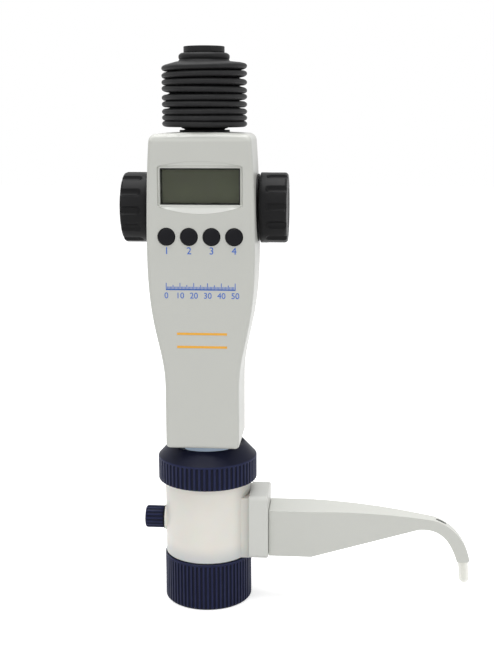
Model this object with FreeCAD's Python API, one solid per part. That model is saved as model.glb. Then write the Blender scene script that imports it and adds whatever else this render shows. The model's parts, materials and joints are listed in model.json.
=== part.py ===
# Electronic bottle-top burette: a piston burette with a display, two hand wheels and a discharge arm.
# Units are millimetres. The origin is on the burette's axis at the foot of the bottle ring. +Z is up,
# the display faces -Y and the discharge arm points along +X. The piston stands at its lowest point.
import FreeCAD, Part
import math
import os

V = FreeCAD.Vector
ALONG_X = V(1, 0, 0)
ALONG_Y = V(0, 1, 0)
ALONG_Z = V(0, 0, 1)
NEAR = 0.01              # how close a point lies to a plane to count as on it

# Running and seating clearances
RUN_GAP = 0.05           # shaft in its bush, radial
TURN_GAP = 0.30          # between pieces that turn past each other
BUTTON_GAP = 0.35        # button in its hole, radial
SEAT_GAP = 0.05          # pieces that sit against each other without pressing

# Measuring system: bore and stroke give 50 ml
BORE_R = 12.5
STROKE = 101.8
GLASS_WALL = 1.2
GLASS_INSET = 8.0        # depth of the glass in the valve block
GLASS_OVERRUN = 4.0      # glass left above the piston at the top of its stroke
GLASS_SEAL_THICK = 1.5
GLASS_SEAL_LIP = 1.0     # seal reaches this far under the bore
SLEEVE_WALL = 1.0
SLEEVE_ROOF = 3.0
SLEEVE_LIP = 0.5         # roof of the sleeve reaches this far over the bore
PISTON_LENGTH = 11.0
PISTON_REST = 1.0        # space under the piston at its lowest point
PISTON_GAP = 0.06        # piston body in the glass, radial
PISTON_CHAMFER = 1.5
SEAL_GAP = 0.01          # piston seals in the glass, radial
SEAL_DEPTH = 1.6
SEAL_HEIGHT = 1.8
SEAL_FROM_FOOT = 2.5
SEAL_FROM_TOP = 1.2

# Bottle ring
RING_R = 27.5
RING_HEIGHT = 30.2
RING_THREAD_R = 22.6
RING_THREAD_LENGTH = 20.0
RING_RELIEF = 0.9
RING_LIP = 4.0
RING_CHAMFER = 1.2
RING_EASE = 0.4
RIB_DEPTH = 0.75
RING_RIBS = 64

# Valve block
BLOCK_R = 26.8
BLOCK_BODY = 48.5        # height of the round body
BLOCK_NECK = 11.0        # height of the threaded neck over it
BLOCK_NECK_STEP = 0.8    # neck is this much slimmer than the body
BLOCK_EASE = 0.6
SPIGOT_R = 18.0
SPIGOT_LENGTH = 6.5
CLIP_DEPTH = 1.4         # clip in its groove
CLIP_STAND = 2.4         # clip beyond the spigot
CLIP_THICK = 1.2
CLIP_OPENING = 6.0
VALVE_AXIS_RISE = 20.5   # priming valve, outlet and discharge tube above the block's foot

# Valves
BALL_R = 2.4
BALL_LIFT = 1.0
BALL_SEAT_ANGLE = 45.0
BALL_SEAT_CLEAR = 0.03
CHAMBER_R = 4.5
PASSAGE_R = 1.5
INSERT_R = 6.5
INSERT_LENGTH = 18.0
INSERT_STAND = 2.0       # insert below the spigot
INTAKE_R = 3.0
INTAKE_LENGTH = 12.0
STOP_THICK = 1.6
STOP_SPACE = 1.4
STOP_NOTCHES = 3
STOP_NOTCH_R = 1.3
STOP_NOTCH_AT = 3.4
FEED_RISE = 2.0          # cross channel above the inlet seat
FUNNEL_HEIGHT = 5.0
OUTLET_X = 19.0
OUTLET_R = 4.0
OUTLET_PLUG_LIFT = 0.2
OUTLET_SEAT_DROP = 3.5   # outlet seat below the valve axis
OUTLET_RIM = 0.5
RETURN_X = 12.0          # priming channel back to the bottle, on the -X side
RETURN_R = 1.25

# Union nut
NUT_RIBS = 62
NUT_WALL = 5.0           # from the neck's thread to the rib tips
NUT_GRIP = 14.8
NUT_CONE = 8.2
NUT_TOP_R = 23.4
NUT_TOP_LAND = 1.0
NUT_DISH = 3.2
NUT_EASE = 0.5
NUT_SEAT = 0.2           # nut above the block's shoulder
FLANGE_STEP = 0.6        # sleeve flange is this much slimmer than the neck
FLANGE_THICK = 3.0

# Housing
HOUSING_FRONT = -26.8
HOUSING_BACK = 20.0
HOUSING_LIFT = 2.8       # housing above the nut
HEAD_HEIGHT = 91.8       # from the sleeve's top to the housing's top
CROWN = 1.2
WAIST_HALF = 22.4
CHEST_HALF = 32.1
SHOULDER_HALF = 29.8
WAIST_LENGTH = 36.7
CHEST_DROP = 68.6        # widest place below the housing's top
WAIST_EASE = 28.0
CHEST_EASE = 51.5
SHOULDER_EASE = 38.0
HOUSING_WALL = 2.4
HOUSING_TOP_R = 4.5
HOUSING_BOTTOM_R = 2.5
FRONT_EDGE_R = 2.6
BACK_EDGE_R = 6.0
BULKHEAD_THICK = 3.0
BULKHEAD_STEP = 2.0      # middle bulkhead above the waist
BULKHEAD_DROP = 8.0      # upper bulkhead below the sleeve's top
POST_R = 3.6
POST_RISE = 12.0         # lower posts above the housing's foot
POST_DROP = 80.6         # upper posts below the housing's top
POST_INSET = 7.2
SCREW_R = 1.5
SCREW_GRIP = 9.0
SCREW_HEAD_R = 2.8
SCREW_HEAD = 1.6
SCREW_SLOT_R = 1.3
SCREW_SLOT = 1.0
HEAD_SINK = 0.2          # screw heads below the surface that they hold

# Shaft, wheels and rack
SHAFT_R = 3.0
SHAFT_Y = 5.0            # also the plane where the two shells meet
SHAFT_DROP = 45.6        # shaft below the housing's top
SHAFT_INSET = 4.0        # shaft's end inside the wheel's face
GEAR_MODULE = 0.8
PINION_TEETH = 15
PINION_WIDTH = 9.0
PRESSURE_ANGLE = 20.0
DEDENDUM = 1.25          # in modules
BACKLASH = 0.16
FLANK_STEPS = 3
WHEEL_R = 21.26
WHEEL_OUTER = 49.9       # outer end of each wheel from the middle
WHEEL_WIDTH = 16.5
WHEEL_EDGE = 1.8
WHEEL_EDGE_SHARE = 0.3
WHEEL_WEB = 4.5
WHEEL_FLUTES = 12
WHEEL_TURN_RIGHT = 9.5   # degrees that each wheel stands turned at rest
WHEEL_TURN_LEFT = -14.0
FLUTE_R = 2.6
FLUTE_DEPTH = 1.7
FLUTE_BAND = 3.7
WHEEL_RIM = 2.6
WHEEL_HUB_R = 7.0
WHEEL_CAP_R = 12.0
WHEEL_CAP_THICK = 1.6
DISC_R = 20.4
DISC_THICK = 0.9
DISC_SINK = 0.6
BUSH_R = 5.4
BUSH_LENGTH = 5.0
CIRCLIP_STAND = 2.0
CIRCLIP_THICK = 0.8
ENCODER_X = 15.0
ENCODER_R = 8.6
ENCODER_THICK = 0.8
ENCODER_HUB = 2.5
ENCODER_HUB_WALL = 1.6
ENCODER_SLOTS = 16
SLOT_HALF = 0.45
SLOT_LENGTH = 2.2
SLOT_RIM = 0.8
SENSOR_HALF_WIDTH = 2.6
SENSOR_HALF_HEIGHT = 3.0
SENSOR_GAP_HALF = 0.9
SENSOR_REACH = 3.4       # fork over the disc's rim
SENSOR_ROOM = 1.0
ROD_R = 6.5
ROD_HEAD = 4.0           # round head of the rod below the rolled collar
ROD_INSET = 6.0          # rod in the piston
RACK_OVERRUN = 8.0
RACK_SIDE = 0.6          # teeth wider than the pinion on each side
RACK_ROOT = 1.5
GUIDE_HALF = 10.5
GUIDE_RISE = 13.0
GUIDE_GAP = 0.06
GUIDE_BACK = 0.5

# Bellows and the knob at the top of the rod
LIPS = 9
LIP_R = 25.4
LIP_PITCH = 4.04
LIP_THICK = 3.0
LIP_TIP_SHARE = 0.28
LIP_SLIT = 2.4           # slit inside a lip, short of its tip
LIP_SLIT_HALF = 0.5
NECK_RISE = 5.3          # first lip above the housing
VALLEY_R = 15.0
BELLOWS_WALL = 1.3
NECK_R = 12.6
NECK_FLARE = 1.4
NECK_STRAIGHT = 1.2
NECK_EASE = 0.4
CONE_RISE = 3.18         # rolled collar above the last lip's middle
CONE_LIP = 6.0
CONE_LIP_RISE = 0.7
ROLL_R = 14.8
ROLL_HEIGHT = 5.0
ROLL_EDGE_LOW = 1.2
ROLL_EDGE_HIGH = 1.4
ROLL_WALL = 3.2
CAP_R = 12.15
CAP_STAND = 3.6          # cap above the rolled collar
CAP_EASE = 0.8
CAP_RIM = 3.0
CAP_DISH_R = 4.5
CAP_DISH = 0.5
CAP_NECK_GAP = 0.1
CAP_SOCKET_WALL = 2.0
CAP_SOCKET = 6.5
COLLAR_FLANGE_R = 15.0
COLLAR_FLANGE_THICK = 1.6
COLLAR_SINK = 0.6
COLLAR_LENGTH = 8.0
COLLAR_BUSH = 3.0
COLLAR_STEP = 1.8
COLLAR_WALL = 2.6

# Front panel
DISPLAY_DROP = 31.1      # middle of the display below the housing's top
WINDOW_HALF = 23.5
WINDOW_HALF_HEIGHT = 10.6
POCKET_HALF = 25.0
POCKET_SIDE_HALF = 11.6
POCKET_SIDE_LIFT = 0.1
POCKET_LOW_BOW = 4.3
POCKET_HIGH_BOW = 2.9
POCKET_DEPTH = 1.4
POCKET_CORNER_R = 1.5
WINDOW_PLATE = 1.2
WINDOW_OVERLAP = 1.5
LCD_DEPTH = 4.0
LCD_RIM = 1.2
LCD_REBATE = 0.5
BUTTON_R = 5.0
BUTTON_PITCH = 13.3
BUTTON_DROP = 60.3       # buttons below the housing's top
BUTTON_PROUD = 1.4
BUTTON_DOME = 1.0
BUTTON_FLANGE = 1.2
BUTTON_FLANGE_THICK = 0.9
BUTTON_STEM_R = 1.8
BUTTON_TRAVEL = 0.8
BUTTON_NAMES = ("memory_button", "dose_button", "titrate_button", "reset_button")

# Board and chassis
BOARD_THICK = 1.6
BOARD_HALF = 26.0
BOARD_HEIGHT = 66.0
BOARD_DROP = 10.6        # board's upper edge below the housing's top
CHIP_HALF = 6.0
CHIP_HEIGHT = 1.2
CHASSIS_SPACE = 1.5
CHASSIS_THICK = 2.0
CHASSIS_CORNER = 3.2
SPACER_R = 2.6
CHASSIS_SCREW_GRIP = 2.0
SWITCH_HALF = 3.0
SWITCH_HEIGHT = 1.2
MAT_THICK = 0.8
MAT_HALF_HEIGHT = 6.0
MAT_TRIM = 1.0

# Battery bay
BATTERY_R = 5.25
BATTERY_LENGTH = 44.5
BATTERY_PIP = 0.8
BATTERY_PIP_R = 1.9
BATTERY_SPACE = 0.4      # half the space between the cells
BAY_DROP = 24.1          # middle of the bay below the housing's top
BAY_ROOM = 0.3
BAY_DOOR_ROOM = 1.2
CONTACT_THICK = 0.5
CONTACT_HALF = 4.0
TRAY_WALL = 1.2
COVER_LAND = 0.5         # door past the tray, above and below
COVER_THICK = 2.0
COVER_GAP = 0.3
COVER_CORNER_R = 2.0
COVER_NOTCH_R = 5.0
COVER_NOTCH_DEPTH = 0.8
COVER_NOTCH_RISE = 1.5

# Arm
ARM_BOX_OFFSET = 0.6     # box beyond the round of the block
ARM_BOX_LENGTH = 11.9
ARM_BOX_HALF = 16.0
ARM_BOX_HEIGHT = 41.0
ARM_BOX_CORNER_R = 3.2
ARM_BOX_EDGE_R = 1.2
ARM_BOSS_INSET = 1.2
ARM_BOSS_LOW = 0.4
ARM_BOSS_HIGH = 1.5
ARM_SCREW_R = 1.6
ARM_SCREW_GRIP = 8.0
ARM_SCREW_HEAD_R = 3.0
ARM_SCREW_HEAD = 3.0
ARM_SCREW_SOCKET_R = 1.4
ARM_SCREW_SOCKET = 1.8
ARM_SCREW_EDGE = 1.0
ARM_SEAM = 0.3
ARM_HALF = 12.0
ARM_UNDER = 19.6         # underside at the root below the tube
ARM_OVER = 10.2          # top at the root above the tube
ARM_TAPER = 27.0         # parallel root's length from the box
ARM_WRIST = 66.7         # taper's length along the underside
ARM_WRIST_RISE = 17.2
ARM_WRIST_HALF = 5.0
SPOUT_HALF = 3.9
SPOUT_DROP = 23.6        # spout's end below the tube
SPOUT_CHAMFER = 1.2
TUBE_R = 1.5
TUBE_BORE_R = 0.8
TUBE_BEND_R = 19.9
TUBE_RUN = 102.1         # straight tube from the box to the bend
TUBE_LEAN = 5.5          # degrees that the tip leans outwards
TUBE_DROP = 36.0         # tip of the tube below its straight run
ARM_KNUCKLE_X = 0.6      # where the arm's top turns into the hook, from the tube's bend
ARM_KNUCKLE_Z = 4.0
ARM_SLIM = 8.6           # where the arm has slimmed to the spout, from the tube's bend
TOP_LEAD = 26.7          # pulls of the curves that draw the arm's side
TOP_TAIL = 25.0
TOP_TAIL_RISE = 4.1
HOOK_OUT_LEAD = (10.8, -2.4)
HOOK_OUT_TAIL = (2.8, 15.6)
HOOK_IN_LEAD = (3.4, 10.6)
HOOK_IN_TAIL = (16.0, 1.7)
CAP_TUBE_R = 3.1
CAP_TUBE_END = 2.2       # cap past the tube's tip

# Priming valve
KNOB_BOSS = 0.4
KNOB_BOSS_WALL = 1.1
KNOB_BOSS_ROOT = 6.0
WASHER_THICK = 0.75
WASHER_STAND = 0.5
KNOB_GAP = 0.35
VALVE_KNOB_R = 7.05
VALVE_KNOB_LENGTH = 11.7
VALVE_KNOB_RIBS = 18
VALVE_KNOB_RIB_DEPTH = 0.55
VALVE_KNOB_EDGE = 1.1
VALVE_KNOB_FOOT_EASE = 0.5
VALVE_KNOB_FACE = 4.0    # solid end of the knob
SPINDLE_R = 3.0
SPINDLE_END_X = 5.0      # spindle's inner end from the middle
SPINDLE_BORE_SHARE = 0.8 # bore along the spindle is this share of its cross hole
SPINDLE_SEAL_DEPTH = 0.9
SPINDLE_SEAL_WIDTH = 1.4
SPINDLE_SEAL_OUTER = 5.5
SPINDLE_SEAL_INNER = 3.4

# Places that follow from the sizes above, from the bottle upwards
CLIP_TOP = RING_HEIGHT - RING_LIP - TURN_GAP
BLOCK_BOTTOM = RING_HEIGHT + TURN_GAP
SPIGOT_BOTTOM = BLOCK_BOTTOM - SPIGOT_LENGTH
BLOCK_SHOULDER = BLOCK_BOTTOM + BLOCK_BODY
BLOCK_TOP = BLOCK_SHOULDER + BLOCK_NECK
BLOCK_NECK_R = BLOCK_R - BLOCK_NECK_STEP
VALVE_AXIS_Z = BLOCK_BOTTOM + VALVE_AXIS_RISE
GLASS_R = BORE_R + GLASS_WALL
SLEEVE_BORE_R = GLASS_R + SEAT_GAP
SLEEVE_R = SLEEVE_BORE_R + SLEEVE_WALL
GLASS_BOTTOM = BLOCK_TOP - GLASS_INSET
PISTON_BOTTOM = GLASS_BOTTOM + PISTON_REST
PISTON_TOP = PISTON_BOTTOM + PISTON_LENGTH
GLASS_TOP = PISTON_TOP + STROKE + GLASS_OVERRUN
SLEEVE_TOP = GLASS_TOP + SLEEVE_ROOF
FLANGE_R = BLOCK_NECK_R - FLANGE_STEP
FLANGE_TOP = BLOCK_TOP + FLANGE_THICK
NUT_R = BLOCK_NECK_R + NUT_WALL
NUT_BOTTOM = BLOCK_SHOULDER + NUT_SEAT
NUT_SHOULDER = NUT_BOTTOM + NUT_GRIP
NUT_TOP = NUT_SHOULDER + NUT_CONE
HOUSING_BOTTOM = NUT_TOP + HOUSING_LIFT
HOUSING_TOP = SLEEVE_TOP + HEAD_HEIGHT
HOUSING_CORNER_Z = HOUSING_TOP - CROWN
HOUSING_INSIDE_FRONT = HOUSING_FRONT + HOUSING_WALL
HOUSING_INSIDE_BACK = HOUSING_BACK - HOUSING_WALL
WAIST_TOP = HOUSING_BOTTOM + WAIST_LENGTH
CHEST_Z = HOUSING_TOP - CHEST_DROP
SHAFT_Z = HOUSING_TOP - SHAFT_DROP
DISPLAY_Z = HOUSING_TOP - DISPLAY_DROP
BUTTON_Z = HOUSING_TOP - BUTTON_DROP
FIRST_LIP_Z = HOUSING_TOP + NECK_RISE
LIP_TOP_Z = FIRST_LIP_Z + (LIPS - 1) * LIP_PITCH
ROLL_BOTTOM = LIP_TOP_Z + CONE_RISE
ROLL_TOP = ROLL_BOTTOM + ROLL_HEIGHT
CAP_TOP = ROLL_TOP + CAP_STAND
ROD_FLAT = SHAFT_Y - GEAR_MODULE * (PINION_TEETH / 2 + DEDENDUM)
PITCH_LINE_Y = SHAFT_Y - GEAR_MODULE * PINION_TEETH / 2

INSERT_BOTTOM = SPIGOT_BOTTOM - INSERT_STAND
INSERT_TOP = INSERT_BOTTOM + INSERT_LENGTH
FEED_Z = INSERT_TOP + FEED_RISE
OUTLET_SEAT_TOP = VALVE_AXIS_Z - OUTLET_SEAT_DROP

WINDOW_LOW = DISPLAY_Z - WINDOW_HALF_HEIGHT
WINDOW_HIGH = DISPLAY_Z + WINDOW_HALF_HEIGHT
LCD_FRONT = HOUSING_INSIDE_FRONT + WINDOW_PLATE
BOARD_FRONT = LCD_FRONT + LCD_DEPTH
BOARD_BACK = BOARD_FRONT + BOARD_THICK
BOARD_HIGH = HOUSING_TOP - BOARD_DROP
BOARD_LOW = BOARD_HIGH - BOARD_HEIGHT
CHASSIS_FRONT = BOARD_BACK + CHASSIS_SPACE
CHASSIS_BACK = CHASSIS_FRONT + CHASSIS_THICK
BAY_Z = HOUSING_TOP - BAY_DROP
BATTERY_Y = HOUSING_INSIDE_BACK - BATTERY_R - BAY_DOOR_ROOM
BATTERY_Z = (BAY_Z - BATTERY_R - BATTERY_SPACE, BAY_Z + BATTERY_R + BATTERY_SPACE)
TRAY_HALF = BATTERY_LENGTH / 2 + CONTACT_THICK + TRAY_WALL
TRAY_HALF_HEIGHT = 2 * BATTERY_R + BATTERY_SPACE + BAY_ROOM + TRAY_WALL
COVER_HALF = TRAY_HALF + SEAT_GAP
COVER_LOW = BAY_Z - TRAY_HALF_HEIGHT - COVER_LAND
COVER_HIGH = BAY_Z + TRAY_HALF_HEIGHT + COVER_LAND

ARM_BOX_START = BLOCK_R + ARM_BOX_OFFSET
ARM_BOX_END = ARM_BOX_START + ARM_BOX_LENGTH
ARM_BOX_LOW = BLOCK_BOTTOM
ARM_BOX_HIGH = ARM_BOX_LOW + ARM_BOX_HEIGHT
ARM_LOW = VALVE_AXIS_Z - ARM_UNDER
ARM_HIGH = VALVE_AXIS_Z + ARM_OVER
ARM_TAPER_X = ARM_BOX_END + ARM_TAPER
ARM_WRIST_X = ARM_TAPER_X + ARM_WRIST
ARM_WRIST_LOW = ARM_LOW + ARM_WRIST_RISE
ARM_SCREW_AT = ARM_HALF - ARM_SCREW_HEAD_R - ARM_SCREW_EDGE
ARM_SCREW_Y = (-ARM_SCREW_AT, ARM_SCREW_AT)
SPOUT_END_Z = VALVE_AXIS_Z - SPOUT_DROP
TUBE_BEND_X = ARM_BOX_END + TUBE_RUN
TUBE_END_Z = VALVE_AXIS_Z - TUBE_DROP
KNOB_BOSS_X = -BLOCK_R - KNOB_BOSS
KNOB_FOOT_X = KNOB_BOSS_X - WASHER_THICK - KNOB_GAP
KNOB_END_X = KNOB_FOOT_X - VALVE_KNOB_LENGTH
SPINDLE_SEAL_X = (-RETURN_X - SPINDLE_SEAL_OUTER, -RETURN_X + SPINDLE_SEAL_INNER)

LOWER_POST_X = SLEEVE_R + 2 * SCREW_R
UPPER_POST_X = SHOULDER_HALF - POST_INSET
LOWER_POST_Z = HOUSING_BOTTOM + POST_RISE
UPPER_POST_Z = HOUSING_TOP - POST_DROP
POST_PLACES = ((-LOWER_POST_X, LOWER_POST_Z), (LOWER_POST_X, LOWER_POST_Z),
               (-UPPER_POST_X, UPPER_POST_Z), (UPPER_POST_X, UPPER_POST_Z))
BULKHEAD_Z = (HOUSING_BOTTOM + HOUSING_WALL, WAIST_TOP + BULKHEAD_STEP, SLEEVE_TOP - BULKHEAD_DROP)
CORNER_X = BOARD_HALF - CHASSIS_CORNER
CORNER_LOW = BOARD_LOW + CHASSIS_CORNER
CORNER_HIGH = BOARD_HIGH - CHASSIS_CORNER
CHASSIS_SCREW_PLACES = ((-CORNER_X, CORNER_LOW), (CORNER_X, CORNER_LOW),
                        (-CORNER_X, CORNER_HIGH), (CORNER_X, CORNER_HIGH))


def rod_z(radius, low, high, x=0.0, y=0.0):
    return Part.makeCylinder(radius, high - low, V(x, y, low), ALONG_Z)


def rod_x(radius, start, end, y, z):
    return Part.makeCylinder(radius, end - start, V(start, y, z), ALONG_X)


def rod_y(radius, start, end, x, z):
    return Part.makeCylinder(radius, end - start, V(x, start, z), ALONG_Y)


def ring_z(outer, inner, low, high):
    return rod_z(outer, low, high).cut(rod_z(inner, low, high))


def box(x, y, z):
    """Block between two x values, two y values and two z values."""
    return Part.makeBox(x[1] - x[0], y[1] - y[0], z[1] - z[0], V(x[0], y[0], z[0]))


def face_of(points):
    corners = [V(*point) for point in points]
    return Part.Face(Part.makePolygon(corners + corners[:1]))


def turned(profile):
    """Solid of revolution about the burette's axis from (radius, height) corners."""
    face = face_of([(radius, 0, height) for radius, height in profile])
    return face.revolve(V(0, 0, 0), ALONG_Z, 360)


def turned_x(profile, y, z):
    """Solid of revolution about a line along X from (x, radius) corners."""
    face = face_of([(x, y, z + radius) for x, radius in profile])
    return face.revolve(V(0, y, z), ALONG_X, 360)


def joined(shapes):
    return shapes[0].multiFuse(shapes[1:]).removeSplitter()


def ribbed_outline(tip_r, root_r, count):
    """Ring of points round a ribbed grip: a flat-topped rib and a flat-floored groove in each pitch."""
    points = []
    pitch = 2 * math.pi / count
    for rib in range(count):
        for share, radius in ((0.0, root_r), (0.18, tip_r), (0.55, tip_r), (0.73, root_r)):
            angle = (rib + share) * pitch
            points.append((radius * math.cos(angle), radius * math.sin(angle)))
    return points


def ribbed_prism(tip_r, depth, count, low, high):
    points = [(x, y, low) for x, y in ribbed_outline(tip_r, tip_r - depth, count)]
    return face_of(points).extrude(V(0, 0, high - low))


def mirrored_x(shape):
    return shape.mirror(V(0, 0, 0), ALONG_X)


def edge_middle(edge):
    return edge.valueAt((edge.FirstParameter + edge.LastParameter) / 2)


def rounded(shape, radius, test):
    """Fillet on the edges whose middle point passes a test."""
    return shape.makeFillet(radius, [edge for edge in shape.Edges if test(edge_middle(edge))])


def line(start, end):
    return Part.LineSegment(start, end).toShape()


def arc(start, middle, end):
    return Part.Arc(start, middle, end).toShape()


def bottle_ring():
    """Ribbed screw ring with a lip that hooks over the clip on the valve block's spigot."""
    envelope = turned([(0, 0), (RING_R - RING_CHAMFER, 0), (RING_R, RING_CHAMFER),
                       (RING_R, RING_HEIGHT - RING_EASE), (RING_R - RING_EASE, RING_HEIGHT), (0, RING_HEIGHT)])
    grip = ribbed_prism(RING_R, RIB_DEPTH, RING_RIBS, 0, RING_HEIGHT).common(envelope)
    relief_r = RING_THREAD_R + RING_RELIEF
    lip_bottom = RING_HEIGHT - RING_LIP
    throat = SPIGOT_R + TURN_GAP
    hollow = turned([(0, 0), (RING_THREAD_R, 0), (RING_THREAD_R, RING_THREAD_LENGTH),
                     (relief_r, RING_THREAD_LENGTH), (relief_r, lip_bottom),
                     (throat, lip_bottom), (throat, RING_HEIGHT), (0, RING_HEIGHT)])
    return grip.cut(hollow)


def spigot_groove():
    """Space of the clip's groove round the spigot."""
    return ring_z(SPIGOT_R, SPIGOT_R - CLIP_DEPTH, CLIP_TOP - CLIP_THICK, CLIP_TOP)


def ring_clip():
    """Snap ring that holds the bottle ring on the spigot, with its gap towards the back."""
    low = CLIP_TOP - CLIP_THICK
    outer = SPIGOT_R + CLIP_STAND
    clip = ring_z(outer, SPIGOT_R - CLIP_DEPTH, low, CLIP_TOP)
    return clip.cut(box((-CLIP_OPENING / 2, CLIP_OPENING / 2), (0, outer), (low, CLIP_TOP)))


def seat_cone(top_z):
    """Cone that a valve ball rests in, with its mouth at this height."""
    depth = CHAMBER_R - BALL_R
    slope = math.tan(math.radians(BALL_SEAT_ANGLE))
    return Part.makeCone(PASSAGE_R, PASSAGE_R + depth * slope, depth, V(0, 0, top_z - depth), ALONG_Z)


def ball_centre_z(top_z):
    """Height of a ball that just clears the cone below it."""
    depth = CHAMBER_R - BALL_R
    half_angle = math.radians(BALL_SEAT_ANGLE)
    cone_apex = top_z - depth - PASSAGE_R / math.tan(half_angle)
    return cone_apex + (BALL_R + BALL_SEAT_CLEAR) / math.sin(half_angle)


def stop_bottom():
    """Height of the disc that limits the inlet ball's lift."""
    return ball_centre_z(INSERT_TOP) + BALL_R + BALL_LIFT + SEAT_GAP


def valve_block():
    """White valve block: round body, threaded neck, spigot, arm boss, valve chambers and channels."""
    body = turned([(0, SPIGOT_BOTTOM), (SPIGOT_R - BLOCK_EASE, SPIGOT_BOTTOM),
                   (SPIGOT_R, SPIGOT_BOTTOM + BLOCK_EASE), (SPIGOT_R, BLOCK_BOTTOM),
                   (BLOCK_R - BLOCK_EASE, BLOCK_BOTTOM), (BLOCK_R, BLOCK_BOTTOM + BLOCK_EASE),
                   (BLOCK_R, BLOCK_SHOULDER - BLOCK_EASE), (BLOCK_R - BLOCK_EASE, BLOCK_SHOULDER),
                   (BLOCK_NECK_R, BLOCK_SHOULDER), (BLOCK_NECK_R, BLOCK_TOP), (0, BLOCK_TOP)])
    boss_half = ARM_BOX_HALF - ARM_BOSS_INSET
    arm_boss = box((0, ARM_BOX_START), (-boss_half, boss_half),
                   (BLOCK_BOTTOM + ARM_BOSS_LOW, ARM_BOX_HIGH - ARM_BOSS_HIGH))
    knob_boss = rod_x(VALVE_KNOB_R + KNOB_BOSS_WALL, KNOB_BOSS_X, KNOB_BOSS_ROOT - BLOCK_R, 0, VALVE_AXIS_Z)
    body = joined([body, arm_boss, knob_boss])
    roof = stop_bottom() + STOP_THICK + STOP_SPACE
    outlet_roof = ball_centre_z(OUTLET_SEAT_TOP) + BALL_R + BALL_LIFT + SEAT_GAP
    seal_bottom = GLASS_BOTTOM - GLASS_SEAL_THICK
    seal_bore_r = BORE_R - GLASS_SEAL_LIP
    spaces = [
        rod_z(INSERT_R, SPIGOT_BOTTOM, INSERT_TOP),
        rod_z(CHAMBER_R, INSERT_TOP, roof),
        rod_z(PASSAGE_R, roof, GLASS_BOTTOM),
        Part.makeCone(PASSAGE_R, seal_bore_r, FUNNEL_HEIGHT, V(0, 0, seal_bottom - FUNNEL_HEIGHT), ALONG_Z),
        rod_z(seal_bore_r, seal_bottom, GLASS_BOTTOM),
        rod_z(SLEEVE_BORE_R, seal_bottom, BLOCK_TOP),
        rod_z(OUTLET_R, BLOCK_BOTTOM, outlet_roof, OUTLET_X),
        rod_x(RETURN_R, 0, OUTLET_X, 0, FEED_Z),
        rod_x(TUBE_R + SEAT_GAP, OUTLET_X, ARM_BOX_START, 0, VALVE_AXIS_Z),
        rod_x(SPINDLE_R + RUN_GAP, KNOB_BOSS_X, -SPINDLE_END_X, 0, VALVE_AXIS_Z),
        rod_x(RETURN_R, -SPINDLE_END_X, 0, 0, VALVE_AXIS_Z),
        rod_z(RETURN_R, SPIGOT_BOTTOM, VALVE_AXIS_Z, -RETURN_X),
        spigot_groove(),
    ]
    for y in ARM_SCREW_Y:
        spaces.append(rod_x(ARM_SCREW_R, ARM_BOX_START - ARM_SCREW_GRIP, ARM_BOX_START, y, VALVE_AXIS_Z))
    for space in spaces:
        body = body.cut(space)
    return body


def inlet_valve_seat():
    """Screwed-in insert: socket for the intake tube below, seat for the inlet ball above."""
    body = rod_z(INSERT_R, INSERT_BOTTOM, INSERT_TOP)
    body = body.cut(rod_z(INTAKE_R, INSERT_BOTTOM, INSERT_BOTTOM + INTAKE_LENGTH))
    body = body.cut(rod_z(PASSAGE_R, INSERT_BOTTOM + INTAKE_LENGTH, INSERT_TOP))
    return body.cut(seat_cone(INSERT_TOP))


def inlet_ball_stop():
    """Notched disc that limits the inlet ball's lift."""
    low = stop_bottom()
    disc = rod_z(CHAMBER_R, low, low + STOP_THICK)
    for notch in range(STOP_NOTCHES):
        angle = 2 * math.pi * (notch / STOP_NOTCHES + 0.25)
        x, y = STOP_NOTCH_AT * math.cos(angle), STOP_NOTCH_AT * math.sin(angle)
        disc = disc.cut(rod_z(STOP_NOTCH_R, low, low + STOP_THICK, x, y))
    return disc


def outlet_valve_seat():
    """Plug from below with a side feed and the seat of the outlet ball."""
    body = rod_z(OUTLET_R, BLOCK_BOTTOM + OUTLET_PLUG_LIFT, OUTLET_SEAT_TOP, OUTLET_X)
    body = body.cut(rod_z(PASSAGE_R, FEED_Z - PASSAGE_R / 2, OUTLET_SEAT_TOP, OUTLET_X))
    body = body.cut(rod_x(RETURN_R, OUTLET_X - OUTLET_R, OUTLET_X, 0, FEED_Z))
    cone = seat_cone(OUTLET_SEAT_TOP)
    cone.translate(V(OUTLET_X, 0, 0))
    return body.cut(cone.common(rod_z(OUTLET_R - OUTLET_RIM, FEED_Z, OUTLET_SEAT_TOP, OUTLET_X)))


def ball(x, z):
    return Part.makeSphere(BALL_R, V(x, 0, z))


def union_nut():
    """Ribbed nut with a conical shoulder and a dished top, which clamps the sleeve's flange."""
    slope = NUT_CONE / (NUT_R - NUT_TOP_R)
    root = NUT_R - RIB_DEPTH
    root_z = NUT_SHOULDER + RIB_DEPTH * slope
    dish_z = NUT_TOP - NUT_DISH
    throat = SLEEVE_R + TURN_GAP
    envelope = turned([(0, NUT_BOTTOM), (NUT_R - NUT_EASE, NUT_BOTTOM), (NUT_R, NUT_BOTTOM + NUT_EASE),
                       (NUT_R, NUT_SHOULDER), (root, root_z), (0, root_z)])
    grip = ribbed_prism(NUT_R, RIB_DEPTH, NUT_RIBS, NUT_BOTTOM, root_z).common(envelope)
    shoulder = turned([(0, root_z), (root, root_z), (NUT_TOP_R, NUT_TOP), (NUT_TOP_R - NUT_TOP_LAND, NUT_TOP),
                       (throat, dish_z), (0, dish_z)])
    inside_r = BLOCK_NECK_R + TURN_GAP
    ledge = FLANGE_TOP + TURN_GAP
    hollow = turned([(0, NUT_BOTTOM), (inside_r, NUT_BOTTOM), (inside_r, ledge), (throat, ledge),
                     (throat, NUT_TOP), (0, NUT_TOP)])
    return joined([grip, shoulder]).cut(hollow)


def glass_cylinder():
    """Precision glass barrel that the piston runs in."""
    return ring_z(GLASS_R, BORE_R, GLASS_BOTTOM, GLASS_TOP)


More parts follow.
